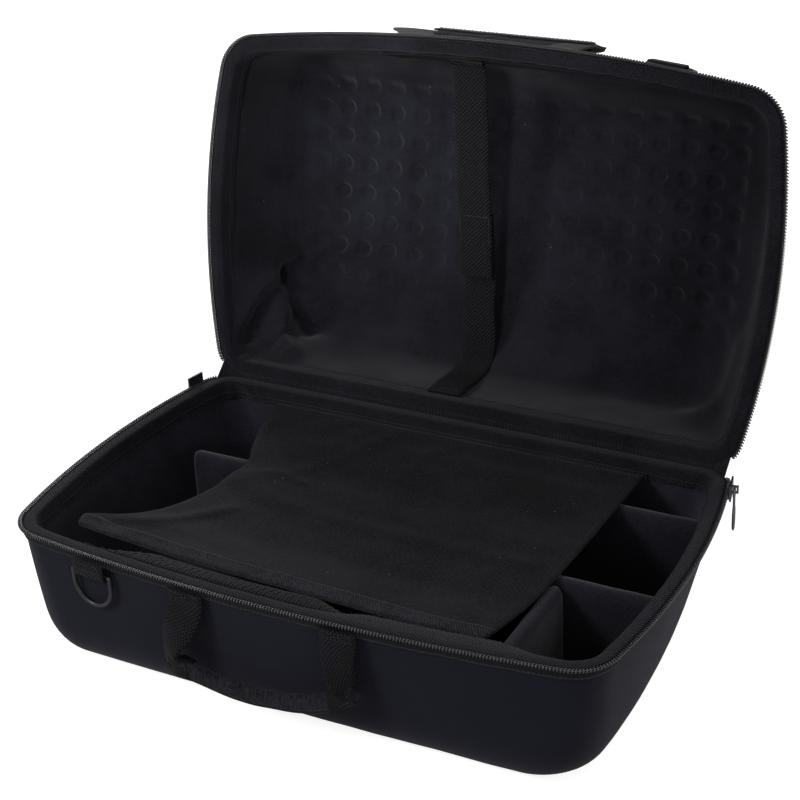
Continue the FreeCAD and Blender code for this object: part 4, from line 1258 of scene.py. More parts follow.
# %% [markdown]
# ## Floor pad
# The slab on the floor is drawn like a tray's layer: rings up its soft edge, and the last ring drawn in to
# the middle. Its inset is measured from the frame piece's own box.

# %% Floor pad
pad_low, pad_high = box_of("floor_pad")
edge = [(3.0, pad_low[2]), (0.4, pad_low[2] + 2.4), (0.0, (pad_low[2] + pad_high[2]) / 2),
        (0.6, pad_high[2] - 2.2), (2.0, pad_high[2] - 0.6), (4.5, pad_high[2])]
pad_inset = LENGTH / 2 - BASE.side_draft * (1 - pad_high[2] / RIM) - pad_high[0]
pad_rings = rings(BASE, [(pad_inset + into, RIM - z) for into, z in edge])[0]
pad_top = floor_of(pad_rings[-1], 20)[1:]
pad_under = floor_of(pad_rings[0], 4)[:0:-1]
pad_points = np.concatenate([pad_under, pad_rings, pad_top])
pad_points[len(pad_under):, :, 2] -= 0.4 * np.abs(ripple(pad_points[len(pad_under):], 40.0, 2.0))
pad = piece("floor_foam_pad", grid(pad_points, closed_cloth(pad_points), around=True, flip=True), PAD_CLOTH,
            "base", ["floor_pad"], weld=True)

# %% [markdown]
# ## Cover flap
# A doubled twill flap is sewn along the rear rim and lies over the dividers. It is loose cloth that has
# been handled, so its left edge is drawn in and rolls under, its front left corner lifts by the rim, and it
# sags between the dividers. A cloth simulation would fold it somewhere else each time. It is drawn as a
# surface between four edge curves, with ridges and sags added, so that the flap, its hem and the rows of
# stitches all lie on the same surface.

# %% Flap edges and folds
FLAP_TOP = 77.4
EDGE_STEPS = 160
EDGES = {
    "rear": [(-139, 114.6, 0.0), (-60, 114.8, 0.0), (40, 114.8, 0.0), (138, 114.6, 0.0)],
    "front": [(-168, -84, 4.4), (-130, -88, 3.4), (-80, -90.5, 2.0), (3, -93, 1.2), (80, -95.5, 0.8),
              (124, -95, 1.6)],
    "left": [(-139, 114.6, 0.0), (-127, 78, -0.4), (-113, 36, 0.6), (-109, 7, 2.2), (-116, -22, 1.6),
             (-131, -50, 2.4), (-151, -66, 3.6), (-168, -72, 4.4), (-170.5, -76, 4.5), (-168, -84, 4.4)],
    "right": [(138, 114.6, 0.0), (137, 60, 0.2), (136, 10, 0.6), (132, -50, 0.2), (124, -95, 1.6)],
}
FLAP_MARKS = (
    Fold([(-106, 6), (-60, -8), (20, -13), (110, -14)], 8, 1.1),
    Fold([(-104, 4), (-70, 40), (-40, 100)], 7, 0.8),
    Fold([(-30, 100), (50, 98), (120, 96)], 9, -0.7),
    Fold([(-60, 44), (30, 38), (110, 40)], 20, -1.5),
    Fold([(-110, -44), (-20, -54), (90, -56)], 15, -1.0),
    Fold([(-158, -72), (-120, -58), (-90, -28)], 5, 1.3),
    Fold([(-142, -74), (-104, -70), (-60, -74)], 5, -1.0),
    Fold([(-112, 12), (-88, 24), (-64, 20)], 4, 0.9),
    Fold([(118, -88), (100, -64), (96, -30)], 6, 0.9),
    Fold([(-10, 66), (6, 22), (40, -4)], 5, 0.5),
)
print("flap edges:", ", ".join(f"{name} {lengths_along(smooth_path(points, 60))[-1]:.0f} mm"
                               for name, points in EDGES.items()))

# %% [markdown]
# ## Flap surface
# A point of the flap is worked out from shares across and down: the four edges are blended, and the folds
# and a slight unevenness are added.

# %% Flap surface
def edge_curve(name, share):
    """Points at shares along one of the flap's four edges."""
    return along_path(share, np.linspace(0, 1, EDGE_STEPS), smooth_path(EDGES[name], EDGE_STEPS))


def flap_points(across, down):
    """Points of the flap's middle surface at shares across and down from the rear left corner."""
    s, t = np.meshgrid(across, down)
    rear, front = edge_curve("rear", s), edge_curve("front", s)
    left, right = edge_curve("left", t), edge_curve("right", t)
    rear_left, rear_right, front_left, front_right = (
        np.array(EDGES[edge][end]) for edge in ("rear", "front") for end in (0, -1))
    s, t = s[..., None], t[..., None]
    corners = ((1 - s) * (1 - t) * rear_left + s * (1 - t) * rear_right
               + (1 - s) * t * front_left + s * t * front_right)
    points = (1 - t) * rear + t * front + (1 - s) * left + s * right - corners
    height = 0.45 * ripple(points, 46.0, 5.5) + 0.2 * ripple(points, 15.0, 1.2)
    for mark in FLAP_MARKS:
        path = smooth_path(np.array(mark.path, float), 30)
        away = np.linalg.norm(points[..., None, :2] - path, axis=-1).min(-1)
        height += mark.height * np.exp(-(away / mark.width) ** 2)
    points[..., 2] += FLAP_TOP + height * np.clip(t[..., 0] / 0.04, 0, 1)
    return points


print(f"the flap's middle is {flap_points([0.5], [0.5])[0, 0, 2]:.1f} mm above the table")

# %% [markdown]
# ## Rolled edge and seams
# The loose left edge curls under, except where it is pressed flat over a divider. A row of stitches only
# needs a path and the way its surface faces.

# %% Rolled edge
ROLL_RADIUS, FLATTENED_AT = 6.5, 36.0
print(f"the left edge rolls down by {ROLL_RADIUS} mm")


def rolled_edge(points):
    """Adds columns that roll down beyond the first one; the roll is pressed flat over a divider."""
    away = unit((points[:, 0] - points[:, 2]) * [1.0, 1.0, 0.0])
    share = np.linspace(0, 1, len(points))
    reach = ROLL_RADIUS * np.clip(share / 0.15, 0.1, 1) * np.clip((0.93 - share) / 0.3, 0, 1)
    reach *= 1 - 0.75 * np.exp(-((points[:, 0, 1] - FLATTENED_AT) / 15) ** 2)
    columns = []
    for angle in np.radians([85, 62, 40, 20]):
        moved = points[:, 0] + away * (reach * math.sin(angle))[:, None]
        moved[:, 2] -= reach * (1 - math.cos(angle))
        columns.append(moved)
    return np.concatenate([np.stack(columns, 1), points], 1)


def seam(path, up, pitch=3.0, width=0.5):
    """Stitches along a path that lies on a surface facing up."""
    up = np.broadcast_to(np.asarray(up, float), path.shape)
    return stitches(path, np.cross(directions(path), up), up, pitch, width)


# %% [markdown]
# ## Flap, hem and stitches
# The cloth's own flat size is what was cut: 286 by 206 mm with the turned hem. The hem is a second strip on
# top of the flap's front edge, wrapped round it, with its ribs running the other way.

# %% Flap and hem
FLAP_FLAT = (286.0, 206.0)
FLAP_ROWS, FLAP_COLUMNS = 90, 110
flap_grid = rolled_edge(flap_points(np.linspace(0, 1, FLAP_COLUMNS), np.linspace(0, 1, FLAP_ROWS)))
flap_cloth = np.stack(np.meshgrid(np.linspace(0, FLAP_FLAT[0], flap_grid.shape[1]),
                                  np.linspace(0, FLAP_FLAT[1], FLAP_ROWS)), -1)
flap = piece("twill_cover_flap", grid(flap_grid, flap_cloth, flip=True), TWILL,
             replaces=["cover_flap"], thick=1.2, offset=0.0)

HEM_SHARE = 10.0 / 196
HEM_WRAP = ((0.9, -0.35), (1.2, -1.1), (0.8, -1.9), (-0.6, -2.2))
hem_rows = flap_points(np.linspace(0.004, 0.998, 150), np.linspace(1 - HEM_SHARE, 1, 7)) + [0, 0, 1.05]
edge_ahead = unit((hem_rows[-1] - hem_rows[-2]) * [1.0, 1.0, 0.0])
turned_under = [hem_rows[-1] + edge_ahead * out + [0, 0, down] for out, down in HEM_WRAP]
hem_grid = np.concatenate([hem_rows, np.array(turned_under)])
hem_grid[0, :, 2] -= 0.35
hem_cloth = np.stack(np.meshgrid(lengths_along(hem_rows[0]), np.linspace(0, 14, len(hem_grid))), -1)
hem = piece("folded_flap_hem", grid(hem_grid, hem_cloth, flip=True), HEM_TWILL_PAINTED_LIGHTER,
            replaces=["flap_hem"], thick=0.6, offset=0.0)
hem_row = flap_points(np.linspace(0.01, 0.99, 300), [1 - HEM_SHARE * 0.82])[0] + [0, 0, 1.45]
hem_thread = piece("flap_hem_stitches", seam(hem_row, (0, 0, 1), 2.8, 0.45), THREAD)
edge_row = flap_points([0.985], np.linspace(0.03, 0.94, 200))[:, 0] + [0, 0, 0.7]
edge_thread = piece("flap_edge_stitches", seam(edge_row, (0, 0, 1), 2.8, 0.4), THREAD)

for item in (flap, hem, hem_thread, edge_thread):
    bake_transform(item)

# %% [markdown]
# ## The flap's sewn edge
# The flap's rear edge is covered by a narrow tape that is stitched to the wall. It is a small section
# carried along the wall with a slight wave.

# %% Flap seam
SEAM_STEPS = 200
seam_path = smooth_path([(-140, 115.0, 77.0), (-70, 115.1, 77.2), (0, 115.0, 76.9), (70, 115.1, 77.2),
                         (140, 115.0, 77.0)], SEAM_STEPS)
seam_path[:, 2] += 0.35 * ripple(seam_path, 14.0, 4.0)
seam_section = [(-0.8, -2.6), (0.1, -2.9), (0.8, -2.2), (0.8, 2.2), (0.2, 3.2), (-0.8, 3.0)]
seam_tape = sweep(seam_path, same([0, 1, 0], SEAM_STEPS), same([0, 0, 1], SEAM_STEPS), seam_section)
piece("flap_seam_tape", seam_tape, BINDING_TAPE, "base", ["flap_seam"])
piece("flap_seam_stitches", seam(seam_path + [0, -0.9, 1.6], (0, -1, 0), 3.0), THREAD, "base")

# %% [markdown]
# ## Paths of webbing
# Straps and tabs are flat webbing on a path that bends and twists as a stiff strap does. The way its face
# points is given at a few places and eased between them.

# %% Ribbon frames
def spaced(values, count):
    """A few rows of values, or one number, read evenly at many places."""
    values = np.asarray(values, float)
    if values.ndim == 0:
        return np.full(count, float(values))
    stops, spots = np.linspace(0, 1, count), np.linspace(0, 1, len(values))
    return np.interp(stops, spots, values) if values.ndim == 1 else along_path(stops, spots, values)


def ribbon_frame(points, facing, count, wave=0.0, seed=0.0):
    """Path, side and outward directions of a ribbon; facing is one direction or several along it."""
    path = smooth_path(points, count)
    facing = np.atleast_2d(np.asarray(facing, float))
    up = unit(spaced(facing, count)) if len(facing) > 1 else np.repeat(unit(facing), count, 0)
    side = unit(np.cross(directions(path), up))
    up = unit(np.cross(side, directions(path)))
    if wave:
        path = path + up * (wave * ripple(path, 24.0, seed))[:, None]
    return path, side, up


print(f"one width read at three places: {spaced(24.6, 3)}")

# %% [markdown]
# ## Webbing ribbons
# The section of webbing has full round edges and is carried along the path. Its width and thickness may
# change on the way, where a strap is folded in on itself.

# %% Ribbons
FLAT_SHARE = 0.06
WEBBING_WIDE, WEBBING_THICK = 24.6, 1.4


def flat_section(width, thick, across=7):
    """Flat webbing with round edges, as (sideways, outwards) pairs."""
    run = np.linspace(-1, 1, across) * (width / 2 - thick * 0.35)
    top = [(x, thick / 2) for x in run]
    under = [(x, -thick / 2) for x in run[::-1]]
    return np.array([(-width / 2, 0)] + top + [(width / 2, 0)] + under)


def ribbon(frame_of, width=WEBBING_WIDE, thick=WEBBING_THICK):
    """Webbing along a ribbon's frame; width and thickness are one number or several along it."""
    path, side, up = frame_of
    base = flat_section(1.0, FLAT_SHARE)
    wide, deep = spaced(width, len(path)), spaced(thick, len(path))
    section = np.stack([base[:, 0] * wide[:, None], base[:, 1] / FLAT_SHARE * deep[:, None]], -1)
    return sweep(path, side, up, section)


print(f"webbing {WEBBING_WIDE} mm wide, {WEBBING_THICK} mm thick")

# %% [markdown]
# ## Tacks
# Where webbing is fixed, a box of stitches is sewn through it, mostly with a cross in it. The box is laid
# out along the ribbon's own frame, so that it follows every bend.

# %% Sewn boxes
TACK_HALF = 9.5


def tack(frame_of, start, end, half_width=TACK_HALF, lift=0.95, cross=True):
    """A sewn box with a cross in it, between two places along a ribbon's frame."""
    path, side, up = frame_of
    stops = lengths_along(path)
    corners = [(start, -half_width), (start, half_width), (end, half_width), (end, -half_width)]
    lines = list(zip(corners, corners[1:] + corners[:1]))
    if cross:
        lines += [(corners[0], corners[2]), (corners[1], corners[3])]
    parts = []
    for (a, b), (c, d) in lines:
        share = np.linspace(0, 1, max(int(math.hypot(a - c, b - d)), 6))
        along, across = a + (c - a) * share, b + (d - b) * share
        middle, out, face = (along_path(along, stops, values) for values in (path, side, up))
        line = middle + out * across[:, None] + face * lift
        parts.append(stitches(line, np.cross(directions(line), unit(face)), unit(face), 2.4, 0.45))
    return joined(parts)


print(f"tacks are {2 * TACK_HALF:.0f} mm wide")

# %% [markdown]
# ## D-rings on webbing tabs
# A short loop of webbing holds each ring. It comes out from under the coil, turns round the ring's bar and
# goes back up, with a sewn box to close it.

# %% Ring tabs
RING_DEPTH, BAR_OUT, TURN_RADIUS = 11.0, 3.7, 2.5
TAB_STEPS = 60


def wall_at(half, x, depth):
    """Point and outward direction on the front wall."""
    centre_y, radius, _ = front_circle(half, depth)
    y = centre_y - math.sqrt(radius ** 2 - x ** 2)
    away = np.array([x, y - centre_y, 0.0]) / radius
    return np.array([x, y, level(half, depth)]), away


def ring_tab(half, x):
    """Frame of the webbing loop that goes round a ring's bar."""
    wall, away = wall_at(half, x, RING_DEPTH)
    if half is LID:
        away = unit(away + np.array([0, 0, LID.end_draft / LID.depth]))
    bar = wall + away * BAR_OUT
    down = np.array([0.0, 0.0, half.way * 1.0])
    turn = np.linspace(0, math.pi, 9)
    loop = [bar + away * 2.45 - down * 9.2, bar + away * 2.55 - down * 5.0]
    loop += [bar + (away * math.cos(a) + down * math.sin(a)) * TURN_RADIUS for a in turn]
    loop += [bar - away * 2.2 - down * 4.6]
    path = smooth_path(loop, TAB_STEPS)
    side = same(-unit(np.cross(away, down)), TAB_STEPS)
    return path, side, unit(np.cross(side, directions(path)))


for half, x, out in ((BASE, -130.0, 0.7), (LID, 121.0, -0.7)):
    frame_of = ring_tab(half, x)
    piece(f"{half.name}_ring_webbing_tab", ribbon(frame_of, thick=1.3), WEBBING, half.name,
          [f"{half.name}_ring_tab"], lid=half is LID)
    piece(f"{half.name}_ring_tab_stitches", tack(frame_of, 1.0, 5.0, 9.0, out, False), THREAD, half.name,
          lid=half is LID)

# %% [markdown]
# ## Dressing the frame's metal
# The rings, sliders and bails of the frame already have the right form, so they stay as they are. They only
# get a finish, smooth shading and, where an edge was left sharp, a small bevel.

# %% Rings
def dress(node, finish, bevel=0.0):
    """Gives a frame piece its finish and softens its edges."""
    item = bpy.data.objects[node]
    item.data.materials.clear()
    item.data.materials.append(finish)
    if bevel:
        edges = item.modifiers.new("edges", "BEVEL")
        edges.width = bevel * MM
        edges.segments = 3
        edges.limit_method = "ANGLE"
        edges.harden_normals = False
    item.data.shade_smooth()
    print(f"{node}: dressed")


for node in ("base_ring", "lid_ring"):
    dress(node, PAINTED_WIRE)

# %% [markdown]
# ## Front handle straps
# Two webbing straps are tacked through the front wall and hang forward. At their lower ends the webbing is
# folded in on itself, so it narrows and thickens. Places, facings, widths and thicknesses are given at the
# same eight spots down each strap, because real straps bend and twist unevenly.

# %% Front straps
Strap = namedtuple("Strap", "points facing width thick")
ROOT_Y, ROOT_Z, ROOT_BEND = -128.0, 77.5, 6.0
STRAPS = {
    "left": Strap([(-57.2, ROOT_Y, 84.0), (-57.4, -128.4, 78.0), (-58.2, -129.6, 71), (-61.5, -133.0, 60),
                   (-65.2, -136.0, 50), (-66.0, -136.6, 43), (-62.0, -136.8, 37.5), (-53, -136.8, 34.6)],
                  [(0, -1, 0), (0, -1, 0.02), (0.02, -1, 0.1), (-0.12, -1, 0.1), (-0.45, -1, 0.1),
                   (-0.7, -1, 0.0), (-0.6, -1, 0.3), (-0.2, -1, 0.5)],
                  [24.6, 24.4, 23.6, 22.6, 20.0, 16.5, 13.4, 11.8],
                  [1.5, 1.5, 1.6, 1.8, 2.4, 3.6, 5.2, 6.2]),
    "right": Strap([(46.8, ROOT_Y, 84.0), (46.8, -128.4, 78.0), (46.6, -129.4, 72), (47.6, -131.6, 65),
                    (51.0, -134.6, 56.5), (54.0, -135.8, 49), (51.5, -136.4, 43.6), (44, -136.6, 39.8)],
                   [(0, -1, 0), (0, -1, 0.02), (-0.05, -1, 0.1), (0.1, -1, 0.1), (0.5, -1, 0.1),
                    (0.75, -1, 0.0), (0.6, -1, 0.3), (0.2, -1, 0.5)],
                   [24.6, 24.4, 23.4, 21.8, 18.6, 15.4, 13.0, 11.6],
                   [1.5, 1.5, 1.6, 1.9, 2.6, 3.9, 5.2, 6.0]),
}
for side, strap in STRAPS.items():
    frame_of = ribbon_frame(strap.points, strap.facing, 110, wave=0.35, seed=2.2)
    webbing = piece(f"front_handle_{side}_webbing", ribbon(frame_of, strap.width, strap.thick), WEBBING,
                    replaces=[f"base_handle_{side}_root", f"base_handle_{side}_strap"])
    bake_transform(webbing)
    piece(f"front_handle_{side}_tack", tack(frame_of, 1.2, 5.6), THREAD, "base")

# %% [markdown]
# ## Front grip
# The straps' ends are bound in coated cloth to a soft round grip, which sags between them. It creases where
# a hand closes on it and has a piped lower edge with a row of stitches above it. A closed section carried
# along one curve gives all three their places.

# %% Front grip
GRIP_LINE = [(-67.5, -135.4, 43), (-62, -136, 37.5), (-44, -136.6, 33), (-18, -136.8, 29.8),
             (14, -136.6, 31.6), (40, -136, 38), (54, -135.4, 46), (59.5, -134.4, 51)]
GRIP_STEPS = 130
GRIP_DEEP, GRIP_TALL = 3.3, 5.7
CREASE = 0.1

grip_path = smooth_path(GRIP_LINE, GRIP_STEPS)
grip_path = grip_path + np.stack([0 * grip_path[:, 0], 0.35 * ripple(grip_path, 17.0, 4.0),
                                  0.35 * ripple(grip_path, 21.0, 7.0)], 1)
out = same([0, -1, 0], GRIP_STEPS)
grip_up = unit(np.cross(out, directions(grip_path)))
angles = np.linspace(0, 2 * math.pi, 26, endpoint=False)
share = np.linspace(0, 1, GRIP_STEPS)
taper = 0.55 + 0.45 * np.clip(np.minimum(share, 1 - share) / 0.07, 0, 1) ** 0.5
round_section = np.stack([np.cos(angles) * GRIP_DEEP, np.sin(angles) * GRIP_TALL], 1)
round_section[:, 0] += 0.35 * np.abs(np.sin(angles * 2))
around, along = np.meshgrid(angles * 5, lengths_along(grip_path))
creases = CREASE * ripple(np.stack([around, along, 0 * along], -1), 9.0, 3.0)
section = round_section * (taper[:, None] * (1 + creases))[..., None]
piece("front_handle_grip", sweep(grip_path, out, grip_up, section), WRAP_CLOTH, "front_handle",
      ["base_handle_grip"])

inner = slice(4, -4)
piping = grip_path[inner] + out[inner] * 1.6 - grip_up[inner] * 5.1
wire = np.stack([np.cos(angles[::3]), np.sin(angles[::3])], 1) * 1.15
piece("front_handle_grip_piping", sweep(piping, out[inner], grip_up[inner], wire), BINDING_TAPE,
      "front_handle")
inner = slice(5, -5)
row = grip_path[inner] + out[inner] * 3.35 - grip_up[inner] * 2.9
piece("front_handle_grip_stitches", seam(row, unit(out[inner] - 0.3 * grip_up[inner]), 3.0, 0.45), THREAD,
      "front_handle")

# %% [markdown]
# ## Lid handle legs
# The lid's handle is the same webbing lying back over the wall. Its legs bow out from their tacks and turn
# in under the wrap, the left one more than the right. They are drawn on the closed lid and turned open with
# it.

# %% Lid handle legs
LID_LINE = np.array([0.0, wall_at(LID, 0, 12.0)[0][1] - 2.6, LID.rim + 12.0])
HANDLE_X, LEG = -5.0, 52.0
LEG_BOWS = {"left": 21.0, "right": 3.0}
for side, way in (("left", -1), ("right", 1)):
    x, bow = HANDLE_X + way * LEG, way * LEG_BOWS[side]
    offsets = [(0, -0.2, -7), (0, -0.2, -1), (bow * 0.45, -1.4, 14), (bow, -1.6, 31), (bow * 0.55, -0.4, 43),
               (-way * 14, 1.0, 47)]
    facing = [(0, -1, 0), (0, -1, 0), (0, -1, 0.05), (0, -1, 0), (0, -1, 0), (0, -1, 0)]
    frame_of = ribbon_frame(LID_LINE + [x, 0, 0] + offsets, facing, 90, wave=0.4, seed=5.0 + way)
    hidden = [f"lid_handle_{side}_root"] + (["lid_handle_webbing"] if side == "left" else [])
    leg = piece(f"lid_handle_{side}_webbing", ribbon(frame_of, [24.6, 24.6, 24.4, 24, 23, 22], 1.5), WEBBING,
                replaces=hidden, lid=True)
    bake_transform(leg)
    piece(f"lid_handle_{side}_tack", tack(frame_of, 0.8, 4.6), THREAD, "lid", lid=True)

# %% [markdown]
# ## Lid handle wrap
# A sheet of coated cloth is folded round the webbing, tucked in at its ends and stitched along its free
# edge. Its section is a flattened oval that thins towards the tucked ends, and the free edge is a narrow
# strip laid on top.

# %% Lid handle wrap
WRAP_LEFT, WRAP_RIGHT, WRAP_AROUND = -64.0, 54.0, 66.0
WRAP_LOW, WRAP_HIGH = 32.0, 62.0
WRAP_HALF = 14.6
wrap_x = np.linspace(WRAP_LEFT, WRAP_RIGHT, 90)[:, None]
around = np.linspace(0, 2 * math.pi, 40, endpoint=False)
cos, sin = np.cos(around), np.sin(around)
full = np.minimum(1.0, 0.35 + np.minimum(wrap_x - WRAP_LEFT, WRAP_RIGHT - wrap_x) / 9.0)
flat = np.sign(cos) * np.abs(cos) ** 0.55 * WRAP_HALF * (0.93 + 0.07 * full)
deep = np.sign(sin) * np.abs(sin) ** 0.8 * (1.2 + 2.3 * full)
wrap_points = np.stack([np.broadcast_to(wrap_x, flat.shape), LID_LINE[1] + 0.8 + deep,
                        LID_LINE[2] + (WRAP_LOW + WRAP_HIGH) / 2 + flat], -1)
wrap_points[..., 1] += 0.55 * ripple(wrap_points, 20.0, 6.0) + 0.3 * ripple(wrap_points, 8.0, 2.0)
wrap_points[..., 2] += 0.7 * ripple(wrap_points, 28.0, 9.0)
wrap_cloth = np.stack(np.meshgrid(np.linspace(0, WRAP_AROUND, len(around) + 1), wrap_x), -1)
tube = grid(np.concatenate([wrap_points, wrap_points[:, :1]], 1), wrap_cloth)
caps = end_caps(wrap_points, lambda strip: strip[..., [1, 2]], (True, False))
piece("lid_handle_cloth_wrap", joined([tube] + caps), WRAP_CLOTH, "top_handle",
      ["lid_handle_wrap"], lid=True, weld=True)

FOLD_STEPS = 120
fold_x = np.linspace(WRAP_LEFT + 1.5, WRAP_RIGHT - 1.5, FOLD_STEPS)
fold_line = same(LID_LINE + [0, -3.1, 40.5], FOLD_STEPS)
fold_line[:, 0] = fold_x
fold_line[:, 2] += 0.5 * ripple(fold_line, 15.0, 3.0)
fold = sweep(fold_line, same([0, 0, 1], FOLD_STEPS), same([0, -1, 0], FOLD_STEPS), flat_section(11.0, 1.3))
piece("lid_handle_wrap_fold", fold, WRAP_CLOTH, "top_handle", lid=True)
piece("lid_handle_wrap_stitches", seam(fold_line + [0, -0.8, 3.2], (0, -1, 0), 3.0), THREAD, "top_handle",
      lid=True)

# %% [markdown]
# ## Strap across the lid
# An upper strap hangs from the front rim and meets a lower one that is sewn in by the hinge. The upper one
# swings free from its sewn end. Its end is turned back and stitched as a hem. It is drawn where it hangs, in
# the open lid.

# %% Upper strap
up_low, up_high = box_of("lid_strap_upper")
anchor_low = box_of("lid_strap_anchor")[0]
strap_x, face_y = (up_low[0] + up_high[0]) / 2, (up_low[1] + up_high[1]) / 2
top = up_high[2]
upper_points = [(strap_x, anchor_low[1] + 2.2, top + 3.6), (strap_x, face_y - 0.6, top - 2),
                (strap_x + 0.6, face_y - 1.0, top - 34), (strap_x - 0.4, face_y + 0.2, top - 80),
                (strap_x + 0.2, face_y - 0.2, top - 112), (strap_x, face_y, up_low[2] + 8),
                (strap_x, face_y, up_low[2] - 0.5)]
upper_facing = [(0, -1, 0.4), (0, -1, 0.1), (0.08, -1, 0), (-0.06, -1, 0), (0.03, -1, 0), (0, -1, 0),
                (0, -1, 0)]
upper_frame = ribbon_frame(upper_points, upper_facing, 150, wave=0.25, seed=1.0)
upper = piece("lid_strap_upper_webbing", ribbon(upper_frame), WEBBING,
              replaces=["lid_strap_upper", "lid_strap_anchor"])
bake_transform(upper)

HEM_STEPS, HEM_PROUD = 24, 1.15
path, side, up = (values[-HEM_STEPS:] for values in upper_frame)
piece("lid_strap_hem", ribbon((path + up * HEM_PROUD, side, up), 24.8, 1.0), WEBBING, "strap_upper")

# %% [markdown]
# ## Hook and loop patches
# Patches of hook and loop tape hold the two straps face to face. Each is sewn on, and its stitched outline
# shows on the front of the strap. The patches are plain ribbons in their frame pieces' boxes.

# %% Patches of the strap
PATCH_HALF, PATCH_LENGTH, EDGE_ROOM = 10.6, 45.0, 3.0
upper_length = lengths_along(upper_frame[0])[-1]
outlines = [tack(upper_frame, upper_length - back, upper_length - EDGE_ROOM, PATCH_HALF, 0.85, False)
            for back in (PATCH_LENGTH, EDGE_ROOM + 5.0)]
piece("lid_strap_patch_stitches", joined(outlines), THREAD, "strap_upper")
for node, body, name in (("lid_strap_hook_patch", "strap_upper", "hook_tape_patch"),
                         ("lid_strap_loop_patch", "lid", "loop_tape_patch")):
    low, high = box_of(node)
    x, y, z = (low + high) / 2
    frame_of = ribbon_frame([(x, y, high[2]), (x, y, z), (x, y, low[2])], (0, -1, 0), 24)
    patch = ribbon(frame_of, high[0] - low[0], high[1] - low[1])
    piece(name, patch, HOOK_TAPE, body, [node])

# %% [markdown]
# ## Lower strap
# The lower strap rises from the hinge over the slope of the lining, turns up the lid's back and ends behind
# the upper one. It does not move in the lid, so it simply rides with it.

# %% Lower strap
low_low, low_high = box_of("lid_strap_lower")
lower_points = [(strap_x, 199.2, low_high[2]), (strap_x, 199.8, 178), (strap_x + 0.5, 198.9, 158),
                (strap_x - 0.3, 196.9, 138), (strap_x + 0.3, 196.3, 118), (strap_x, 192.0, 102.0),
                (strap_x, 180.0, 96.8), (strap_x, 165.0, 97.3), (strap_x, 150.0, 99.3),
                (strap_x, low_low[1] + 0.8, 98.4)]
lower_facing = [(0, -1, 0), (0, -1, 0), (0.06, -1, 0), (-0.04, -1, 0.05), (0, -1, 0.2), (0, -0.7, 0.8),
                (0, 0.1, 1), (0, 0.1, 1), (0, 0.05, 1), (0, 0, 1)]
lower_frame = ribbon_frame(lower_points, lower_facing, 150, wave=0.3, seed=8.0)
lower_length = lengths_along(lower_frame[0])[-1]
piece("lid_strap_lower_webbing", ribbon(lower_frame), WEBBING, "lid", ["lid_strap_lower"])
box = tack(lower_frame, lower_length - 5.0, lower_length - 1.2, TACK_HALF, 0.85, False)
piece("lid_strap_lower_tack", box, THREAD, "lid")
print(f"straps {upper_length:.0f} and {lower_length:.0f} mm long")

# %% [markdown]
# ## Zipper sliders and pulls
# Two die-cast sliders rest on the base's coil, near the rear ends of the side walls. Each carries a bail
# and a pull: a stamped shank that widens into an oval ring for a finger. The pull is drawn once, as two
# closed wires of soft section with the shank between them, and hangs plumb from its bail.

# %% Pull
def rounded(values, power):
    """Sines or cosines squared off by a power below one."""
    return np.sign(values) * np.abs(values) ** power


def oval(centre_z, half_wide, half_tall, corner):
    """A closed oval of (sideways, height) pairs; a higher corner makes it squarer."""
    angles = np.linspace(0, 2 * math.pi, 48, endpoint=False)
    return np.stack([rounded(np.cos(angles), 2 / corner) * half_wide,
                     centre_z + rounded(np.sin(angles), 2 / corner) * half_tall], 1)


def closed_wire(line, wide, deep):
    """A closed loop of oval section, as points (sideways, outwards, height)."""
    path = np.stack([line[:, 0], 0 * line[:, 0], line[:, 1]], 1)
    out = same([0, 1, 0], len(path))
    angles = np.linspace(0, 2 * math.pi, 12, endpoint=False)
    section = np.stack([np.cos(angles) * wide / 2, np.sin(angles) * deep / 2], 1)
    return sweep(path, np.cross(directions(path, closed=True), out), out, section, closed=True)


SHANK_TOP, SHANK_LOW, SHANK_STEPS = -4.6, -13.4, 14


def pull_patch():
    """The whole pull, hanging from nought: eye, shank and finger ring."""
    eye = closed_wire(oval(-2.4, 3.0, 2.7, 3.0), 1.7, 1.5)
    ring = closed_wire(oval(-20.6, 3.5, 8.0, 2.6), 2.0, 1.6)
    path = same([0, 0, 1], SHANK_STEPS) * np.linspace(SHANK_TOP, SHANK_LOW, SHANK_STEPS)[:, None]
    wide = 2.0 + 2.8 * np.abs(np.linspace(0, 1, SHANK_STEPS) - 0.45) ** 1.2
    angles = np.linspace(0, 2 * math.pi, 16, endpoint=False)
    section = np.stack([rounded(np.cos(angles), 0.6) * wide[:, None],
                        rounded(np.sin(angles), 0.7) * np.full((SHANK_STEPS, 1), 0.75)], -1)
    shank = sweep(path, same([1, 0, 0], SHANK_STEPS), same([0, 1, 0], SHANK_STEPS), section)
    return joined([eye, ring, shank])


flat_pull = pull_patch()
print(f"pull {np.ptp(flat_pull.points[:, 2]):.1f} mm long")

# %% [markdown]
# ## Sliders in place
# The sliders and bails keep the frame's own form with dark plating and softened edges. Each pull hangs just
# under the top of its frame piece and faces straight out of the wall, whose direction is read from the
# outline.

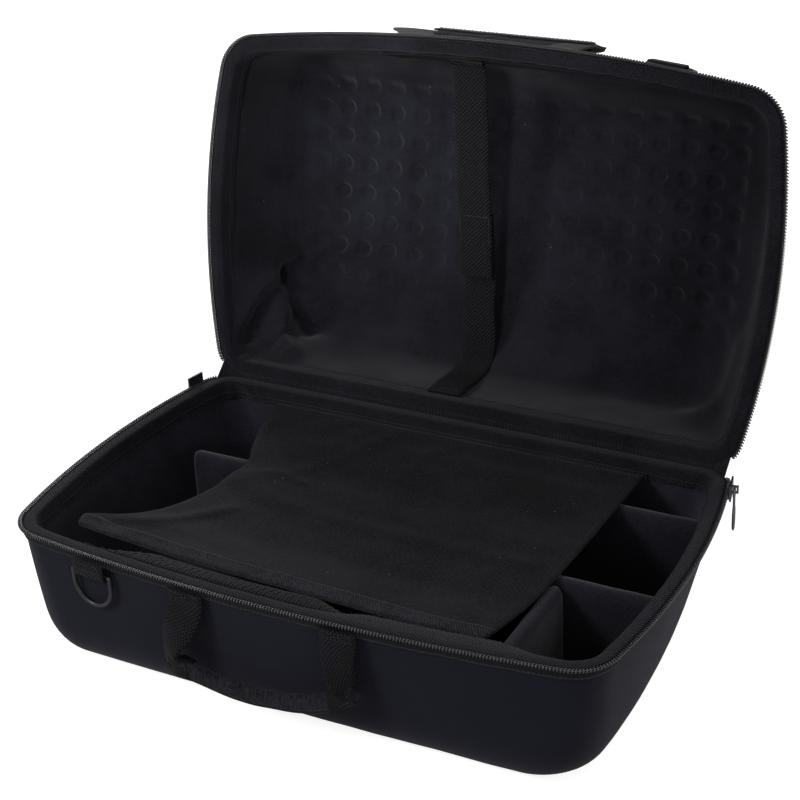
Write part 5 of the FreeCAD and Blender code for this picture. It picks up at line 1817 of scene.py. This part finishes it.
# %% Sliders and pulls
for side in ("right", "left"):
    for node, bevel in ((f"{side}_slider", 0.45), (f"{side}_bail", 0.35)):
        dress(node, PLATED_ZINC, bevel)
    low, high = box_of(f"{side}_pull")
    middle = (low + high) / 2
    plan, turns = outline(BASE, 0, 0)
    nearest = np.argmin(np.linalg.norm(plan - middle[:2], axis=1))
    away = np.array([*turns[nearest], 0.0])
    frame_axes = np.stack([np.cross(away, [0.0, 0.0, 1.0]), away, [0.0, 0.0, 1.0]])
    points = [middle[0], middle[1], high[2] - 0.8] + flat_pull.points @ frame_axes
    piece(f"{side}_zip_pull", flat_pull._replace(points=points), PLATED_ZINC, f"{side}_pull_body",
          [f"{side}_pull"])

# %% [markdown]
# ## Studio
# A white sweep under soft light. The floor and the sky look white, through Light Path: camera rays see a
# brighter floor and a full sky, while reflections and the light on the case stay dimmer, so its colours
# render as written. The floor still takes a faint shadow.

# %% Floor
FLOOR_GLOW = 0.85
FLOOR_SIZE = 14.0
FLOOR_DROP = 0.5


def white_floor():
    """White paper that shines a little for the camera only."""
    material, tree, shader = new_finish("white_paper_sweep")
    shader.inputs["Base Color"].default_value = linear("#e9e9ea")
    shader.inputs["Roughness"].default_value = 0.9
    seen = add(tree, "ShaderNodeLightPath")
    glow = add(tree, "ShaderNodeEmission", {"Color": linear("#ffffff"), "Strength": FLOOR_GLOW})
    both = add(tree, "ShaderNodeAddShader", {0: shader.outputs[0], 1: glow.outputs[0]})
    chosen = add(tree, "ShaderNodeMixShader", {0: seen.outputs["Is Camera Ray"], 1: shader.outputs[0],
                                               2: both.outputs[0]})
    tree.links.new(chosen.outputs[0], tree.nodes["Material Output"].inputs[0])
    return material


bpy.ops.mesh.primitive_plane_add(size=FLOOR_SIZE, location=(0, 0, -FLOOR_DROP * MM))
floor = bpy.context.object
floor.name = "studio_floor"
floor.data.materials.append(white_floor())
floor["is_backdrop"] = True
print(f"floor {FLOOR_SIZE:.0f} m wide")

# %% [markdown]
# ## Sky
# An even white sky would grey the black cloth. So the camera sees it full, shiny surfaces see about half of
# it, and it lights the rest at a quarter.

# %% Sky
SKY_LIGHT, SKY_SHINE = 0.25, 0.3
world = bpy.data.worlds.new("studio")
bpy.context.scene.world = world
world.use_nodes = True
sky = world.node_tree
paths = add(sky, "ShaderNodeLightPath")
shiny = maths(sky, "MULTIPLY_ADD", paths.outputs["Is Glossy Ray"], SKY_SHINE, SKY_LIGHT)
strength = maths(sky, "MAXIMUM", paths.outputs["Is Camera Ray"], shiny)
sky.nodes["Background"].inputs["Color"].default_value = linear("#ffffff")
sky.links.new(strength, sky.nodes["Background"].inputs["Strength"])
bpy.context.scene.view_settings.view_transform = "Standard"
print(f"sky lights at {SKY_LIGHT}, shines at {SKY_LIGHT + SKY_SHINE:.2f}")

# %% [markdown]
# ## Lamps
# A key lamp of less than half a metre, above the front left, models the folds and the dimples. A wide weak
# one fills from the right, a narrow strip behind gives the shells' edges a rim of light, and two more light
# the rear. A soft spot falls on the left of the lid's lining, where its folds are.

# %% Lamps
CASE_MIDDLE = (0.0, 0.05, 0.12)
LINING_LEFT = (-0.08, 0.2, 0.265)
LAMP_COLOUR = (0.93, 0.95, 1.0)
SOFT_BOXES = (
    ("key_light", (-0.72, -0.95, 0.95), (0.45, 0.4), 7),
    ("fill_light", (1.7, -1.2, 0.9), (1.4, 1.2), 4),
    ("edge_light", (0.6, 1.4, 1.6), (1.6, 0.4), 3),
    ("rear_left_light", (-1.5, 1.5, 0.7), (1.2, 0.8), 9),
    ("rear_right_light", (1.6, 1.3, 0.6), (1.2, 0.8), 7),
)


def lamp(name, kind, place, aim, watts):
    """Hangs a lamp at a place and turns it to its aim."""
    light = bpy.data.lights.new(name, kind)
    light.energy = watts
    light.color = LAMP_COLOUR
    holder = bpy.data.objects.new(name, light)
    bpy.context.collection.objects.link(holder)
    holder.location = place
    holder.rotation_euler = (Vector(aim) - Vector(place)).to_track_quat("-Z", "Y").to_euler()
    print(f"{name}: {watts} W")
    return light


for name, place, size, watts in SOFT_BOXES:
    box = lamp(name, "AREA", place, CASE_MIDDLE, watts)
    box.shape = "RECTANGLE"
    box.size, box.size_y = size

spot = lamp("lining_light", "SPOT", (0.05, -0.8, 0.72), LINING_LEFT, 50)
spot.spot_size, spot.spot_blend, spot.shadow_soft_size = math.radians(17), 1.0, 0.12

# %% [markdown]
# ## Camera
# The camera looks down on the open case from the front right through a short telephoto lens. It is tilted a
# little to the side, and a small lens shift centres the case.

# %% Camera
CAMERA_PLACE, CAMERA_AIM = (0.5142, -0.8773, 0.6799), (0.0005, 0.0468, 0.14)
CAMERA_TILT = -3.23
lens = bpy.data.cameras.new("camera")
lens.lens = 83.7
lens.sensor_width = 36.0
lens.shift_x, lens.shift_y = -0.0032, -0.0008
lens.clip_start = 0.05
camera = bpy.data.objects.new("camera", lens)
bpy.context.collection.objects.link(camera)
camera.location = CAMERA_PLACE
look = (Vector(CAMERA_AIM) - camera.location).to_track_quat("-Z", "Y").to_matrix()
camera.rotation_euler = (look @ Matrix.Rotation(math.radians(CAMERA_TILT), 3, "Z")).to_euler()
bpy.context.scene.camera = camera
print(f"camera {(camera.location - Vector(CASE_MIDDLE)).length:.2f} m away")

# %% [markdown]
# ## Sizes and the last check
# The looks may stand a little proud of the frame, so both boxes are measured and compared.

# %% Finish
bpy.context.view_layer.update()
past = np.abs(np.array(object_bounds()) - np.array(cad_box)).max() / MM
print(f"the looks' box is within {past:.1f} mm of the frame's")
